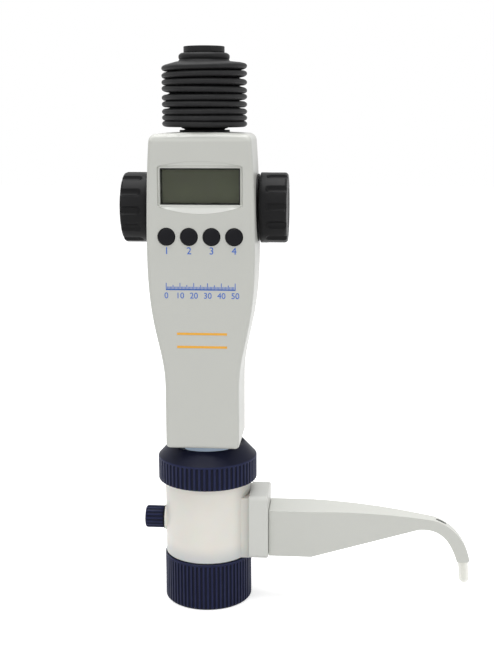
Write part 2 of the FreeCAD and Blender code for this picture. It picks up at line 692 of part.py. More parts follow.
def cylinder_seal():
    """Flat seal that the glass stands on."""
    return ring_z(GLASS_R, BORE_R - GLASS_SEAL_LIP, GLASS_BOTTOM - GLASS_SEAL_THICK, GLASS_BOTTOM)


def cylinder_sleeve():
    """Clear protective sleeve with a clamped flange at its foot and a roof over the glass."""
    lip_r = BORE_R - SLEEVE_LIP
    return turned([(SLEEVE_BORE_R, BLOCK_TOP), (FLANGE_R, BLOCK_TOP), (FLANGE_R, FLANGE_TOP),
                   (SLEEVE_R, FLANGE_TOP), (SLEEVE_R, SLEEVE_TOP),
                   (lip_r, SLEEVE_TOP), (lip_r, GLASS_TOP), (SLEEVE_BORE_R, GLASS_TOP)])


def housing_outline(inset):
    """Housing seen from the front: straight waist, S-shaped flank to the chest, arched top."""
    waist = WAIST_HALF - inset
    chest = CHEST_HALF - inset
    shoulder = SHOULDER_HALF - inset
    low = HOUSING_BOTTOM + inset
    corner = HOUSING_CORNER_Z - inset
    y = HOUSING_FRONT
    flank = Part.BezierCurve()
    flank.setPoles([V(waist, y, WAIST_TOP), V(waist, y, WAIST_TOP + WAIST_EASE),
                    V(chest, y, CHEST_Z - CHEST_EASE), V(chest, y, CHEST_Z)])
    side = Part.BezierCurve()
    side.setPoles([V(chest, y, CHEST_Z), V(chest, y, CHEST_Z + SHOULDER_EASE), V(shoulder, y, corner)])
    right = [line(V(waist, y, low), V(waist, y, WAIST_TOP)), flank.toShape(), side.toShape()]
    left = [mirrored_x(edge) for edge in right]
    crown = arc(V(shoulder, y, corner), V(0, y, HOUSING_TOP - inset), V(-shoulder, y, corner))
    foot = line(V(-waist, y, low), V(waist, y, low))
    return Part.Face(Part.Wire(Part.__sortEdges__([foot, crown] + right + left)))


def housing_block():
    """The housing as one closed form, with its corners and edges rounded."""
    depth = HOUSING_BACK - HOUSING_FRONT
    middle_y = (HOUSING_FRONT + HOUSING_BACK) / 2
    form = housing_outline(0).extrude(V(0, depth, 0))

    def is_upper_corner(p):
        return abs(p.y - middle_y) < NEAR and p.z > HOUSING_CORNER_Z - NEAR and abs(p.x) > NEAR

    def is_lower_corner(p):
        return abs(p.y - middle_y) < NEAR and p.z < HOUSING_BOTTOM + NEAR

    form = rounded(form, HOUSING_TOP_R, is_upper_corner)
    form = rounded(form, HOUSING_BOTTOM_R, is_lower_corner)
    form = rounded(form, FRONT_EDGE_R, lambda p: abs(p.y - HOUSING_FRONT) < NEAR)
    return rounded(form, BACK_EDGE_R, lambda p: abs(p.y - HOUSING_BACK) < NEAR)


def housing_hollow():
    """Inside of the housing, a wall thickness in from every side."""
    form = housing_outline(HOUSING_WALL).extrude(V(0, HOUSING_BACK - HOUSING_FRONT - 2 * HOUSING_WALL, 0))
    form.translate(V(0, HOUSING_WALL, 0))
    back_r = BACK_EDGE_R - HOUSING_WALL
    return rounded(form, back_r, lambda p: abs(p.y - HOUSING_INSIDE_BACK) < NEAR)


def cover_opening(margin):
    """Rounded opening of the battery door, through the back wall."""
    half = COVER_HALF + margin
    opening = box((-half, half), (HOUSING_INSIDE_BACK, HOUSING_BACK + HOUSING_WALL),
                  (COVER_LOW - margin, COVER_HIGH + margin))

    def is_corner(p):
        return abs(abs(p.x) - half) < NEAR and abs(p.y - HOUSING_BACK) < NEAR

    return rounded(opening, COVER_CORNER_R + margin, is_corner)


def display_pocket():
    """Space of the shallow pocket round the display, with bowed upper and lower edges."""
    front = HOUSING_FRONT - POCKET_DEPTH
    side_low = DISPLAY_Z - POCKET_SIDE_HALF + POCKET_SIDE_LIFT
    side_high = DISPLAY_Z + POCKET_SIDE_HALF + POCKET_SIDE_LIFT
    corners = [V(-POCKET_HALF, front, side_high), V(-POCKET_HALF, front, side_low),
               V(POCKET_HALF, front, side_low), V(POCKET_HALF, front, side_high)]
    outline = Part.Wire([
        line(corners[0], corners[1]),
        arc(corners[1], V(0, front, side_low - POCKET_LOW_BOW), corners[2]),
        line(corners[2], corners[3]),
        arc(corners[3], V(0, front, side_high + POCKET_HIGH_BOW), corners[0]),
    ])
    pocket = Part.Face(outline).extrude(V(0, 2 * POCKET_DEPTH, 0))

    def is_corner(p):
        return abs(abs(p.x) - POCKET_HALF) < NEAR and abs(p.y - HOUSING_FRONT) < NEAR

    return rounded(pocket, POCKET_CORNER_R, is_corner)


def front_features(shell):
    """Display pocket, window and button holes in the front shell."""
    front = HOUSING_FRONT - HOUSING_WALL
    back = HOUSING_INSIDE_FRONT + HOUSING_WALL
    shell = shell.cut(display_pocket())
    shell = shell.cut(box((-WINDOW_HALF, WINDOW_HALF), (front, back), (WINDOW_LOW, WINDOW_HIGH)))
    for x in button_places():
        shell = shell.cut(rod_y(BUTTON_R + BUTTON_GAP, front, back, x, BUTTON_Z))
    return shell


def button_places():
    return [(index - (len(BUTTON_NAMES) - 1) / 2) * BUTTON_PITCH for index in range(len(BUTTON_NAMES))]


def side_openings():
    """Holes for the wheel bushes and the shallow seats of their discs, both sides."""
    reach = CHEST_HALF + HOUSING_WALL
    seat = CHEST_HALF - DISC_SINK
    hole = rod_x(BUSH_R, -reach, reach, SHAFT_Y, SHAFT_Z)
    right = rod_x(DISC_R, seat, reach, SHAFT_Y, SHAFT_Z)
    return [hole, right, mirrored_x(right)]


def shells():
    """Front and rear shells: one hollow form with bulkheads and posts, parted at the shaft's plane."""
    hollow = housing_hollow()
    wall = housing_block().cut(hollow)
    width = (-CHEST_HALF, CHEST_HALF)
    depth = (HOUSING_FRONT, HOUSING_BACK)
    plates = [box(width, depth, (z, z + BULKHEAD_THICK)).common(hollow) for z in BULKHEAD_Z]
    posts = [rod_y(POST_R, HOUSING_INSIDE_FRONT, HOUSING_INSIDE_BACK, x, z) for x, z in POST_PLACES]
    form = joined([wall] + plates + posts)
    form = form.cut(rod_z(SLEEVE_R, HOUSING_BOTTOM, SLEEVE_TOP + SEAT_GAP))
    form = form.cut(rod_z(NECK_R, HOUSING_TOP - COLLAR_LENGTH, HOUSING_TOP))
    form = form.cut(rod_z(COLLAR_FLANGE_R, HOUSING_TOP - COLLAR_SINK, HOUSING_TOP))
    for space in side_openings():
        form = form.cut(space)
    front_half = box((-CHEST_HALF, CHEST_HALF), (HOUSING_FRONT, SHAFT_Y), (HOUSING_BOTTOM, HOUSING_TOP))
    front = front_features(form.common(front_half))
    rear = form.cut(front_half)
    for x, z in POST_PLACES:
        front = front.cut(rod_y(SCREW_R, SHAFT_Y - SCREW_GRIP - SEAT_GAP, SHAFT_Y, x, z))
        rear = rear.cut(rod_y(SCREW_R, SHAFT_Y, HOUSING_BACK, x, z))
        rear = rear.cut(rod_y(SCREW_HEAD_R + SEAT_GAP, HOUSING_BACK - SCREW_HEAD, HOUSING_BACK, x, z))
    return joined([front] + board_pillars()), rear.cut(cover_opening(COVER_GAP))


def shell_screws():
    """Four screws from the back that hold the shells together."""
    screws = []
    under_head = HOUSING_BACK - SCREW_HEAD
    for x, z in POST_PLACES:
        shank = rod_y(SCREW_R, SHAFT_Y - SCREW_GRIP, under_head, x, z)
        head = rod_y(SCREW_HEAD_R, under_head, HOUSING_BACK - HEAD_SINK, x, z)
        socket = rod_y(SCREW_SLOT_R, HOUSING_BACK - SCREW_SLOT, HOUSING_BACK, x, z)
        screws.append(shank.fuse(head).cut(socket))
    return Part.makeCompound(screws)


def display_window():
    """Clear plate behind the pocket's opening."""
    half = WINDOW_HALF + WINDOW_OVERLAP
    return box((-half, half), (HOUSING_INSIDE_FRONT, LCD_FRONT),
               (WINDOW_LOW - WINDOW_OVERLAP, WINDOW_HIGH + WINDOW_OVERLAP))


def lcd_module():
    """Display glass in its metal frame, standing on the board."""
    half = WINDOW_HALF + LCD_RIM
    frame = box((-half, half), (LCD_FRONT, BOARD_FRONT), (WINDOW_LOW - LCD_RIM, WINDOW_HIGH + LCD_RIM))
    rebate = (LCD_FRONT, LCD_FRONT + LCD_REBATE)
    return frame.cut(box((-WINDOW_HALF, WINDOW_HALF), rebate, (WINDOW_LOW, WINDOW_HIGH)))


def circuit_board():
    """Board with its main chip on the back."""
    board = box((-BOARD_HALF, BOARD_HALF), (BOARD_FRONT, BOARD_BACK), (BOARD_LOW, BOARD_HIGH))
    chip = box((-CHIP_HALF, CHIP_HALF), (BOARD_BACK, BOARD_BACK + CHIP_HEIGHT),
               (DISPLAY_Z - CHIP_HALF, DISPLAY_Z + CHIP_HALF))
    for x, z in CHASSIS_SCREW_PLACES:
        board = board.cut(rod_y(SCREW_R, BOARD_FRONT, BOARD_BACK, x, z))
    return joined([board, chip])


def chassis():
    """Plate that carries the board, the rack guide and the wheel sensor, with a spacer at each corner."""
    plate = box((-BOARD_HALF, BOARD_HALF), (CHASSIS_FRONT, CHASSIS_BACK), (BOARD_LOW, BOARD_HIGH))
    spacers = [rod_y(SPACER_R, BOARD_BACK, CHASSIS_FRONT, x, z) for x, z in CHASSIS_SCREW_PLACES]
    form = joined([plate] + spacers)
    for x, z in CHASSIS_SCREW_PLACES:
        form = form.cut(rod_y(SCREW_R, BOARD_BACK, CHASSIS_BACK, x, z))
    return form


def chassis_screws():
    """Four screws through chassis and board into pillars behind the front wall."""
    screws = []
    for x, z in CHASSIS_SCREW_PLACES:
        shank = rod_y(SCREW_R, BOARD_FRONT - CHASSIS_SCREW_GRIP, CHASSIS_BACK, x, z)
        head = rod_y(SCREW_HEAD_R, CHASSIS_BACK, CHASSIS_BACK + SCREW_HEAD, x, z)
        screws.append(shank.fuse(head))
    return Part.makeCompound(screws)


def board_pillars():
    """Pillars on the inside of the front wall that the board sits on."""
    pillars = []
    for x, z in CHASSIS_SCREW_PLACES:
        pillar = rod_y(SPACER_R, HOUSING_INSIDE_FRONT, BOARD_FRONT, x, z)
        pillars.append(pillar.cut(rod_y(SCREW_R, BOARD_FRONT - CHASSIS_SCREW_GRIP, BOARD_FRONT, x, z)))
    return pillars


def tact_switches():
    """One small switch on the board behind each button."""
    depth = (BOARD_FRONT - SWITCH_HEIGHT, BOARD_FRONT)
    height = (BUTTON_Z - SWITCH_HALF, BUTTON_Z + SWITCH_HALF)
    return Part.makeCompound([box((x - SWITCH_HALF, x + SWITCH_HALF), depth, height) for x in button_places()])


def keypad_mat():
    """Silicone mat over the switches."""
    half = BUTTON_PITCH * len(BUTTON_NAMES) / 2 - MAT_TRIM
    back = BOARD_FRONT - SWITCH_HEIGHT
    height = (BUTTON_Z - MAT_HALF_HEIGHT, BUTTON_Z + MAT_HALF_HEIGHT)
    return box((-half, half), (back - MAT_THICK, back), height)


def button(x):
    """Domed button with a flange behind the front wall and a stem that reaches the mat."""
    flange_front = HOUSING_INSIDE_FRONT + SEAT_GAP
    flange_back = flange_front + BUTTON_FLANGE_THICK
    mat_front = BOARD_FRONT - SWITCH_HEIGHT - MAT_THICK
    tip = HOUSING_FRONT - BUTTON_PROUD
    shoulder = tip + BUTTON_DOME
    dome_r = (BUTTON_R ** 2 + BUTTON_DOME ** 2) / (2 * BUTTON_DOME)
    dome = Part.makeSphere(dome_r, V(x, tip + dome_r, BUTTON_Z))
    dome = dome.common(rod_y(BUTTON_R, tip, shoulder, x, BUTTON_Z))
    body = rod_y(BUTTON_R, shoulder, flange_front, x, BUTTON_Z)
    flange = rod_y(BUTTON_R + BUTTON_FLANGE, flange_front, flange_back, x, BUTTON_Z)
    stem = rod_y(BUTTON_STEM_R, flange_back, mat_front - BUTTON_TRAVEL - SEAT_GAP, x, BUTTON_Z)
    return joined([dome, body, flange, stem])


def drive_shaft():
    """Steel shaft across the housing that both wheels turn."""
    end = WHEEL_OUTER - SHAFT_INSET
    return rod_x(SHAFT_R, -end, end, SHAFT_Y, SHAFT_Z)


def pinion_outline():
    """Involute teeth eased for backlash, as (radius, angle) points round the gear."""
    pitch_r = GEAR_MODULE * PINION_TEETH / 2
    base_r = pitch_r * math.cos(math.radians(PRESSURE_ANGLE))
    tip_r = pitch_r + GEAR_MODULE
    root_r = pitch_r - DEDENDUM * GEAR_MODULE
    half_tooth = (math.pi * GEAR_MODULE / 2 - BACKLASH) / (2 * pitch_r)
    roll_at_pitch = math.sqrt((pitch_r / base_r) ** 2 - 1)
    flank_at_pitch = roll_at_pitch - math.atan(roll_at_pitch)
    flank = []
    for step in range(FLANK_STEPS + 1):
        radius = base_r + (tip_r - base_r) * step / FLANK_STEPS
        roll = math.sqrt(max((radius / base_r) ** 2 - 1, 0))
        spread = half_tooth + flank_at_pitch - (roll - math.atan(roll))
        flank.append((radius, spread))
    flank.insert(0, (root_r, flank[0][1]))
    points = []
    for tooth in range(PINION_TEETH):
        middle = 2 * math.pi * tooth / PINION_TEETH
        for radius, spread in flank:
            points.append((radius, middle - spread))
        for radius, spread in reversed(flank):
            points.append((radius, middle + spread))
    return points


def pinion():
    """Pinion on the shaft, with a tooth pointing at the rack."""
    half = PINION_WIDTH / 2
    corners = [(-half, SHAFT_Y - radius * math.cos(angle), SHAFT_Z + radius * math.sin(angle))
               for radius, angle in pinion_outline()]
    gear = face_of(corners).extrude(V(PINION_WIDTH, 0, 0))
    return gear.cut(rod_x(SHAFT_R, -half, half, SHAFT_Y, SHAFT_Z))


def wheel():
    """Right hand wheel: hollow fluted wheel with a rounded rim, a hub and a recess for its cap."""
    inner = WHEEL_OUTER - WHEEL_WIDTH
    edge = WHEEL_EDGE
    small = WHEEL_EDGE * WHEEL_EDGE_SHARE
    solid = turned_x([(inner, 0), (inner, WHEEL_R), (WHEEL_OUTER - edge, WHEEL_R),
                      (WHEEL_OUTER - small, WHEEL_R - small), (WHEEL_OUTER, WHEEL_R - edge),
                      (WHEEL_OUTER, 0)], SHAFT_Y, SHAFT_Z)
    web = WHEEL_OUTER - WHEEL_WEB
    rim_r = WHEEL_R - FLUTE_DEPTH - WHEEL_RIM
    space = turned_x([(inner, WHEEL_HUB_R), (inner, rim_r), (web, rim_r), (web, WHEEL_HUB_R)],
                     SHAFT_Y, SHAFT_Z)
    body = solid.cut(space)
    start = inner + FLUTE_BAND + FLUTE_R
    reach = WHEEL_R - FLUTE_DEPTH + FLUTE_R
    for flute in range(WHEEL_FLUTES):
        angle = 2 * math.pi * (flute + 0.5) / WHEEL_FLUTES
        y = SHAFT_Y + reach * math.cos(angle)
        z = SHAFT_Z + reach * math.sin(angle)
        body = body.cut(rod_x(FLUTE_R, start, WHEEL_OUTER, y, z))
        body = body.cut(Part.makeSphere(FLUTE_R, V(start, y, z)))
    shaft_end = WHEEL_OUTER - SHAFT_INSET
    body = body.cut(rod_x(SHAFT_R, inner, shaft_end, SHAFT_Y, SHAFT_Z))
    body = body.cut(rod_x(SCREW_R, shaft_end, WHEEL_OUTER, SHAFT_Y, SHAFT_Z))
    return body.cut(rod_x(WHEEL_CAP_R, WHEEL_OUTER - WHEEL_CAP_THICK, WHEEL_OUTER, SHAFT_Y, SHAFT_Z))


def turned_on_shaft(shape, degrees):
    copy = shape.copy()
    copy.rotate(V(0, SHAFT_Y, SHAFT_Z), ALONG_X, degrees)
    return copy


def wheel_cap():
    """Plain disc that covers the wheel's screw."""
    return rod_x(WHEEL_CAP_R, WHEEL_OUTER - WHEEL_CAP_THICK, WHEEL_OUTER - HEAD_SINK, SHAFT_Y, SHAFT_Z)


def wheel_screws():
    """Screw into each end of the shaft, under the cap."""
    right = rod_x(SCREW_R, WHEEL_OUTER - SHAFT_INSET, WHEEL_OUTER - WHEEL_CAP_THICK, SHAFT_Y, SHAFT_Z)
    return Part.makeCompound([right, mirrored_x(right)])


def bearing():
    """Right bush: sleeve through the side wall and the thin disc behind the wheel."""
    seat = CHEST_HALF - DISC_SINK
    sleeve = rod_x(BUSH_R, seat - BUSH_LENGTH, seat, SHAFT_Y, SHAFT_Z)
    disc = rod_x(DISC_R, seat, seat + DISC_THICK, SHAFT_Y, SHAFT_Z)
    bore = rod_x(SHAFT_R + RUN_GAP, seat - BUSH_LENGTH, seat + DISC_THICK, SHAFT_Y, SHAFT_Z)
    return joined([sleeve, disc]).cut(bore)


def shaft_circlips():
    """Rings on the shaft inside each bush, which keep it from sliding endways."""
    end = CHEST_HALF - DISC_SINK - BUSH_LENGTH - SEAT_GAP
    start = end - CIRCLIP_THICK
    clip = rod_x(SHAFT_R + CIRCLIP_STAND, start, end, SHAFT_Y, SHAFT_Z)
    clip = clip.cut(rod_x(SHAFT_R, start, end, SHAFT_Y, SHAFT_Z))
    return Part.makeCompound([clip, mirrored_x(clip)])


def encoder_disc():
    """Slotted disc on the shaft that the sensor counts."""
    back = ENCODER_X + ENCODER_THICK
    disc = rod_x(ENCODER_R, ENCODER_X, back, SHAFT_Y, SHAFT_Z)
    hub = rod_x(SHAFT_R + ENCODER_HUB_WALL, ENCODER_X - ENCODER_HUB, ENCODER_X, SHAFT_Y, SHAFT_Z)
    body = joined([disc, hub]).cut(rod_x(SHAFT_R, ENCODER_X - ENCODER_HUB, back, SHAFT_Y, SHAFT_Z))
    slot_top = SHAFT_Z + ENCODER_R - SLOT_RIM
    slot = box((ENCODER_X, back), (SHAFT_Y - SLOT_HALF, SHAFT_Y + SLOT_HALF),
               (slot_top - SLOT_LENGTH, slot_top))
    for index in range(ENCODER_SLOTS):
        body = body.cut(turned_on_shaft(slot, 360 * index / ENCODER_SLOTS))
    return body


def optical_sensor():
    """Forked sensor on the chassis that straddles the slotted disc."""
    rim_y = SHAFT_Y - ENCODER_R
    reach = rim_y + SENSOR_REACH
    middle = ENCODER_X + ENCODER_THICK / 2
    height = (SHAFT_Z - SENSOR_HALF_HEIGHT, SHAFT_Z + SENSOR_HALF_HEIGHT)
    block = box((middle - SENSOR_HALF_WIDTH, middle + SENSOR_HALF_WIDTH), (CHASSIS_BACK, reach), height)
    gap = (middle - SENSOR_GAP_HALF, middle + SENSOR_GAP_HALF)
    return block.cut(box(gap, (rim_y - SENSOR_ROOM, reach), height))


def rack_rod():
    """Piston rod: half-round steel bar with rack teeth on its flat, full and round at the top."""
    tooth_pitch = math.pi * GEAR_MODULE
    low = PISTON_TOP - ROD_INSET
    high = ROLL_BOTTOM - ROD_HEAD
    bar = rod_z(ROD_R, low, high).cut(box((-ROD_R, ROD_R), (ROD_FLAT, ROD_R), (PISTON_TOP, high)))
    top_teeth = math.ceil(RACK_OVERRUN / tooth_pitch)
    low_teeth = math.ceil((STROKE + RACK_OVERRUN) / tooth_pitch)
    slope = math.tan(math.radians(PRESSURE_ANGLE))
    pitch_half = tooth_pitch / 4 - BACKLASH / 2
    root_half = pitch_half + (PITCH_LINE_Y - ROD_FLAT) * slope
    tip_half = pitch_half - GEAR_MODULE * slope
    tip_y = PITCH_LINE_Y + GEAR_MODULE
    half = PINION_WIDTH / 2 + RACK_SIDE
    root_y = ROD_FLAT - RACK_ROOT
    points = [(half, root_y, SHAFT_Z - (low_teeth + 1) * tooth_pitch)]
    for tooth in range(-low_teeth, top_teeth + 1):
        middle = SHAFT_Z + (tooth + 0.5) * tooth_pitch
        points += [(half, ROD_FLAT, middle - root_half), (half, tip_y, middle - tip_half),
                   (half, tip_y, middle + tip_half), (half, ROD_FLAT, middle + root_half)]
    points.append((half, root_y, SHAFT_Z + (top_teeth + 2) * tooth_pitch))
    teeth = face_of(points).extrude(V(-2 * half, 0, 0)).common(rod_z(ROD_R, low, high))
    return joined([bar, teeth])


def piston():
    """Piston on the rod's foot, with two seal grooves."""
    radius = BORE_R - PISTON_GAP
    body = turned([(0, PISTON_BOTTOM), (radius - PISTON_CHAMFER, PISTON_BOTTOM),
                   (radius, PISTON_BOTTOM + PISTON_CHAMFER), (radius, PISTON_TOP), (0, PISTON_TOP)])
    for low in seal_places():
        body = body.cut(ring_z(radius, radius - SEAL_DEPTH, low, low + SEAL_HEIGHT))
    return body.cut(rod_z(ROD_R, PISTON_TOP - ROD_INSET, PISTON_TOP))


def seal_places():
    return [PISTON_BOTTOM + SEAL_FROM_FOOT, PISTON_TOP - SEAL_FROM_TOP - SEAL_HEIGHT]


def piston_seals():
    """Two sealing rings that wipe the glass."""
    inner = BORE_R - PISTON_GAP - SEAL_DEPTH
    rings = [ring_z(BORE_R - SEAL_GAP, inner, low, low + SEAL_HEIGHT) for low in seal_places()]
    return Part.makeCompound(rings)


def bellows_cap():
    """Top disc on the rod's head, with a neck that plugs the bellows' collar."""
    neck_r = ROLL_R - ROLL_WALL - CAP_NECK_GAP
    foot = ROLL_BOTTOM - CAP_DISH
    dish = CAP_TOP - CAP_DISH
    head = turned([(0, foot), (neck_r, foot), (neck_r, ROLL_TOP), (CAP_R, ROLL_TOP),
                   (CAP_R, CAP_TOP - CAP_EASE), (CAP_R - CAP_EASE, CAP_TOP), (CAP_R - CAP_RIM, CAP_TOP),
                   (CAP_R - CAP_DISH_R, dish), (0, dish)])
    socket = rod_z(ROD_R + CAP_SOCKET_WALL, ROLL_BOTTOM - CAP_SOCKET, foot)
    rod_head = rod_z(ROD_R, ROLL_BOTTOM - CAP_SOCKET, ROLL_BOTTOM - ROD_HEAD)
    return joined([head, socket]).cut(rod_head)


def top_collar():
    """Collar in the housing's top hole: flange, bush for the rod and groove for the bellows' neck."""
    flange_low = HOUSING_TOP - COLLAR_SINK
    flange_high = flange_low + COLLAR_FLANGE_THICK
    lip_top = flange_high + NECK_STRAIGHT
    foot = HOUSING_TOP - COLLAR_LENGTH
    bush_top = foot + COLLAR_BUSH
    bush_r = ROD_R + TURN_GAP
    seat_r = NECK_R - SEAT_GAP
    return turned([(bush_r, foot), (seat_r, foot), (seat_r, flange_low), (COLLAR_FLANGE_R, flange_low),
                   (COLLAR_FLANGE_R, flange_high), (NECK_R - COLLAR_STEP, flange_high),
                   (NECK_R - COLLAR_STEP, lip_top), (NECK_R - COLLAR_WALL, lip_top),
                   (NECK_R - COLLAR_WALL, bush_top), (bush_r, bush_top)])


def bellows():
    """Rubber bellows at rest: neck, nine lips with a slit in each, cone and rolled collar."""
    collar_top = HOUSING_TOP - COLLAR_SINK + COLLAR_FLANGE_THICK
    tip = LIP_THICK * LIP_TIP_SHARE
    half = LIP_THICK / 2
    neck_r = NECK_R - NECK_EASE
    neck_in = neck_r - BELLOWS_WALL
    neck_top = FIRST_LIP_Z - half - LIP_SLIT_HALF
    valley_in = VALLEY_R - BELLOWS_WALL
    outer = [(neck_r, collar_top), (neck_r, collar_top + NECK_STRAIGHT), (NECK_R + NECK_FLARE, neck_top)]
    inner = [(neck_in, collar_top), (neck_in, neck_top)]
    for lip in range(LIPS):
        middle = FIRST_LIP_Z + lip * LIP_PITCH
        outer += [(VALLEY_R, middle - half), (LIP_R - tip, middle - half), (LIP_R, middle),
                  (LIP_R - tip, middle + half), (VALLEY_R, middle + half)]
        inner += [(valley_in, middle - LIP_SLIT_HALF), (LIP_R - LIP_SLIT, middle),
                  (valley_in, middle + LIP_SLIT_HALF)]
    outer.pop()
    roll_in = ROLL_R - ROLL_WALL
    roll_high = ROLL_TOP - SEAT_GAP
    outer += [(LIP_R - CONE_LIP, LIP_TOP_Z + half + CONE_LIP_RISE), (ROLL_R, ROLL_BOTTOM - ROLL_EDGE_LOW / 2),
              (ROLL_R - ROLL_EDGE_LOW / 2, ROLL_BOTTOM), (ROLL_R, ROLL_BOTTOM + ROLL_EDGE_LOW),
              (ROLL_R, ROLL_TOP - ROLL_EDGE_HIGH), (ROLL_R - ROLL_EDGE_LOW, roll_high)]
    inner += [(roll_in, ROLL_BOTTOM), (roll_in, roll_high)]
    return turned(outer + inner[::-1])


def rack_guide():
    """Channel on the chassis that backs the rod against the pinion."""
    low, high = SHAFT_Z - GUIDE_RISE, SHAFT_Z + GUIDE_RISE
    block = box((-GUIDE_HALF, GUIDE_HALF), (CHASSIS_BACK, ROD_FLAT - GUIDE_BACK), (low, high))
    return block.cut(rod_z(ROD_R + GUIDE_GAP, low, high))


def batteries():
    """Two round cells side by side, turned opposite ways, each with its contact pip."""
    half = BATTERY_LENGTH / 2
    shoulder = half - BATTERY_PIP
    cells = []
    for z in BATTERY_Z:
        can = rod_x(BATTERY_R, -shoulder, shoulder, BATTERY_Y, z)
        pip = rod_x(BATTERY_PIP_R, shoulder, half, BATTERY_Y, z)
        cells.append(can.fuse(pip))
    return Part.makeCompound([mirrored_x(cells[0]), cells[1]])


def battery_contacts():
    """Plated contact plates against the tray's end walls."""
    start = BATTERY_LENGTH / 2
    right = box((start, start + CONTACT_THICK), (BATTERY_Y - CONTACT_HALF, BATTERY_Y + CONTACT_HALF),
                (BATTERY_Z[0] - CONTACT_HALF, BATTERY_Z[1] + CONTACT_HALF))
    return Part.makeCompound([right, mirrored_x(right)])


def battery_tray():
    """Tray with end walls and a floor under the cells, open towards the door."""
    floor = BATTERY_Y - BATTERY_R - BAY_ROOM
    outer = box((-TRAY_HALF, TRAY_HALF), (floor - TRAY_WALL, HOUSING_INSIDE_BACK),
                (BAY_Z - TRAY_HALF_HEIGHT, BAY_Z + TRAY_HALF_HEIGHT))
    half = TRAY_HALF - TRAY_WALL
    half_height = TRAY_HALF_HEIGHT - TRAY_WALL
    inner = box((-half, half), (floor, HOUSING_INSIDE_BACK), (BAY_Z - half_height, BAY_Z + half_height))
    return outer.cut(inner)


def battery_cover():
    """Door that pulls off backwards, with a finger notch at its upper edge."""
    plate = cover_opening(0).common(box((-COVER_HALF, COVER_HALF), (HOUSING_BACK - COVER_THICK, HOUSING_BACK),
                                        (COVER_LOW, COVER_HIGH)))
    notch_z = COVER_HIGH + COVER_NOTCH_RISE
    return plate.cut(rod_y(COVER_NOTCH_R, HOUSING_BACK - COVER_NOTCH_DEPTH, HOUSING_BACK, 0, notch_z))


def arm_mount():
    """Rounded box that carries the arm, screwed to the valve block's boss."""
    form = box((ARM_BOX_START, ARM_BOX_END), (-ARM_BOX_HALF, ARM_BOX_HALF), (ARM_BOX_LOW, ARM_BOX_HIGH))
    middle_x = (ARM_BOX_START + ARM_BOX_END) / 2
    form = rounded(form, ARM_BOX_CORNER_R, lambda p: abs(p.x - middle_x) < NEAR)
    form = rounded(form, ARM_BOX_EDGE_R, lambda p: abs(p.x - ARM_BOX_END) < NEAR)
    form = form.cut(rod_x(TUBE_R + SEAT_GAP, ARM_BOX_START, ARM_BOX_END, 0, VALVE_AXIS_Z))
    for y in ARM_SCREW_Y:
        form = form.cut(rod_x(ARM_SCREW_R, ARM_BOX_START, ARM_BOX_END, y, VALVE_AXIS_Z))
        form = form.cut(rod_x(ARM_SCREW_HEAD_R, ARM_BOX_END - ARM_SCREW_HEAD, ARM_BOX_END, y, VALVE_AXIS_Z))
    return form


def arm_mount_screws():
    """Two screws through the box into the block, hidden under the arm."""
    screws = []
    tip = ARM_BOX_START - ARM_SCREW_GRIP + SEAT_GAP
    under_head = ARM_BOX_END - ARM_SCREW_HEAD
    for y in ARM_SCREW_Y:
        shank = rod_x(ARM_SCREW_R, tip, under_head, y, VALVE_AXIS_Z)
        head = rod_x(ARM_SCREW_HEAD_R, under_head, ARM_BOX_END - HEAD_SINK, y, VALVE_AXIS_Z)
        socket = rod_x(ARM_SCREW_SOCKET_R, ARM_BOX_END - ARM_SCREW_SOCKET, ARM_BOX_END, y, VALVE_AXIS_Z)
        screws.append(shank.fuse(head).cut(socket))
    return Part.makeCompound(screws)


def curve(poles):
    bow = Part.BezierCurve()
    bow.setPoles([V(x, 0, z) for x, z in poles])
    return bow.toShape()


def spout_middle_x():
    """Where the tube's leaning end crosses the spout's foot."""
    tip = tube_path()[-1]
    return tip.x - (SPOUT_END_Z - TUBE_END_Z) * math.tan(math.radians(TUBE_LEAN))


def arm_side_face():
    """Arm seen from the front: parallel root, long taper and a hooked spout."""
    root = ARM_BOX_END + ARM_SEAM
    taper = ARM_TAPER_X
    spout_in = spout_middle_x() - SPOUT_HALF
    spout_out = spout_middle_x() + SPOUT_HALF
    knuckle = (TUBE_BEND_X + ARM_KNUCKLE_X, VALVE_AXIS_Z + ARM_KNUCKLE_Z)
    wrist = (ARM_WRIST_X, ARM_WRIST_LOW)
    foot_out = (spout_out, SPOUT_END_Z + SPOUT_CHAMFER)
    foot_in = (spout_in, SPOUT_END_Z)
    chamfer = (spout_out - SPOUT_CHAMFER, SPOUT_END_Z)
    top = curve([(taper, ARM_HIGH), (taper + TOP_LEAD, ARM_HIGH),
                 (knuckle[0] - TOP_TAIL, knuckle[1] + TOP_TAIL_RISE), knuckle])
    hook_out = curve([knuckle, (knuckle[0] + HOOK_OUT_LEAD[0], knuckle[1] + HOOK_OUT_LEAD[1]),
                      (spout_out - HOOK_OUT_TAIL[0], SPOUT_END_Z + HOOK_OUT_TAIL[1]), foot_out])
    hook_in = curve([foot_in, (spout_in - HOOK_IN_LEAD[0], SPOUT_END_Z + HOOK_IN_LEAD[1]),
                     (wrist[0] + HOOK_IN_TAIL[0], wrist[1] + HOOK_IN_TAIL[1]), wrist])
    corners = [wrist, (taper, ARM_LOW), (root, ARM_LOW), (root, ARM_HIGH), (taper, ARM_HIGH)]
    straight = [line(V(a[0], 0, a[1]), V(b[0], 0, b[1])) for a, b in zip(corners, corners[1:])]
    straight.append(line(V(foot_out[0], 0, foot_out[1]), V(chamfer[0], 0, chamfer[1])))
    straight.append(line(V(chamfer[0], 0, chamfer[1]), V(foot_in[0], 0, foot_in[1])))
    return Part.Face(Part.Wire(Part.__sortEdges__(straight + [top, hook_out, hook_in])))


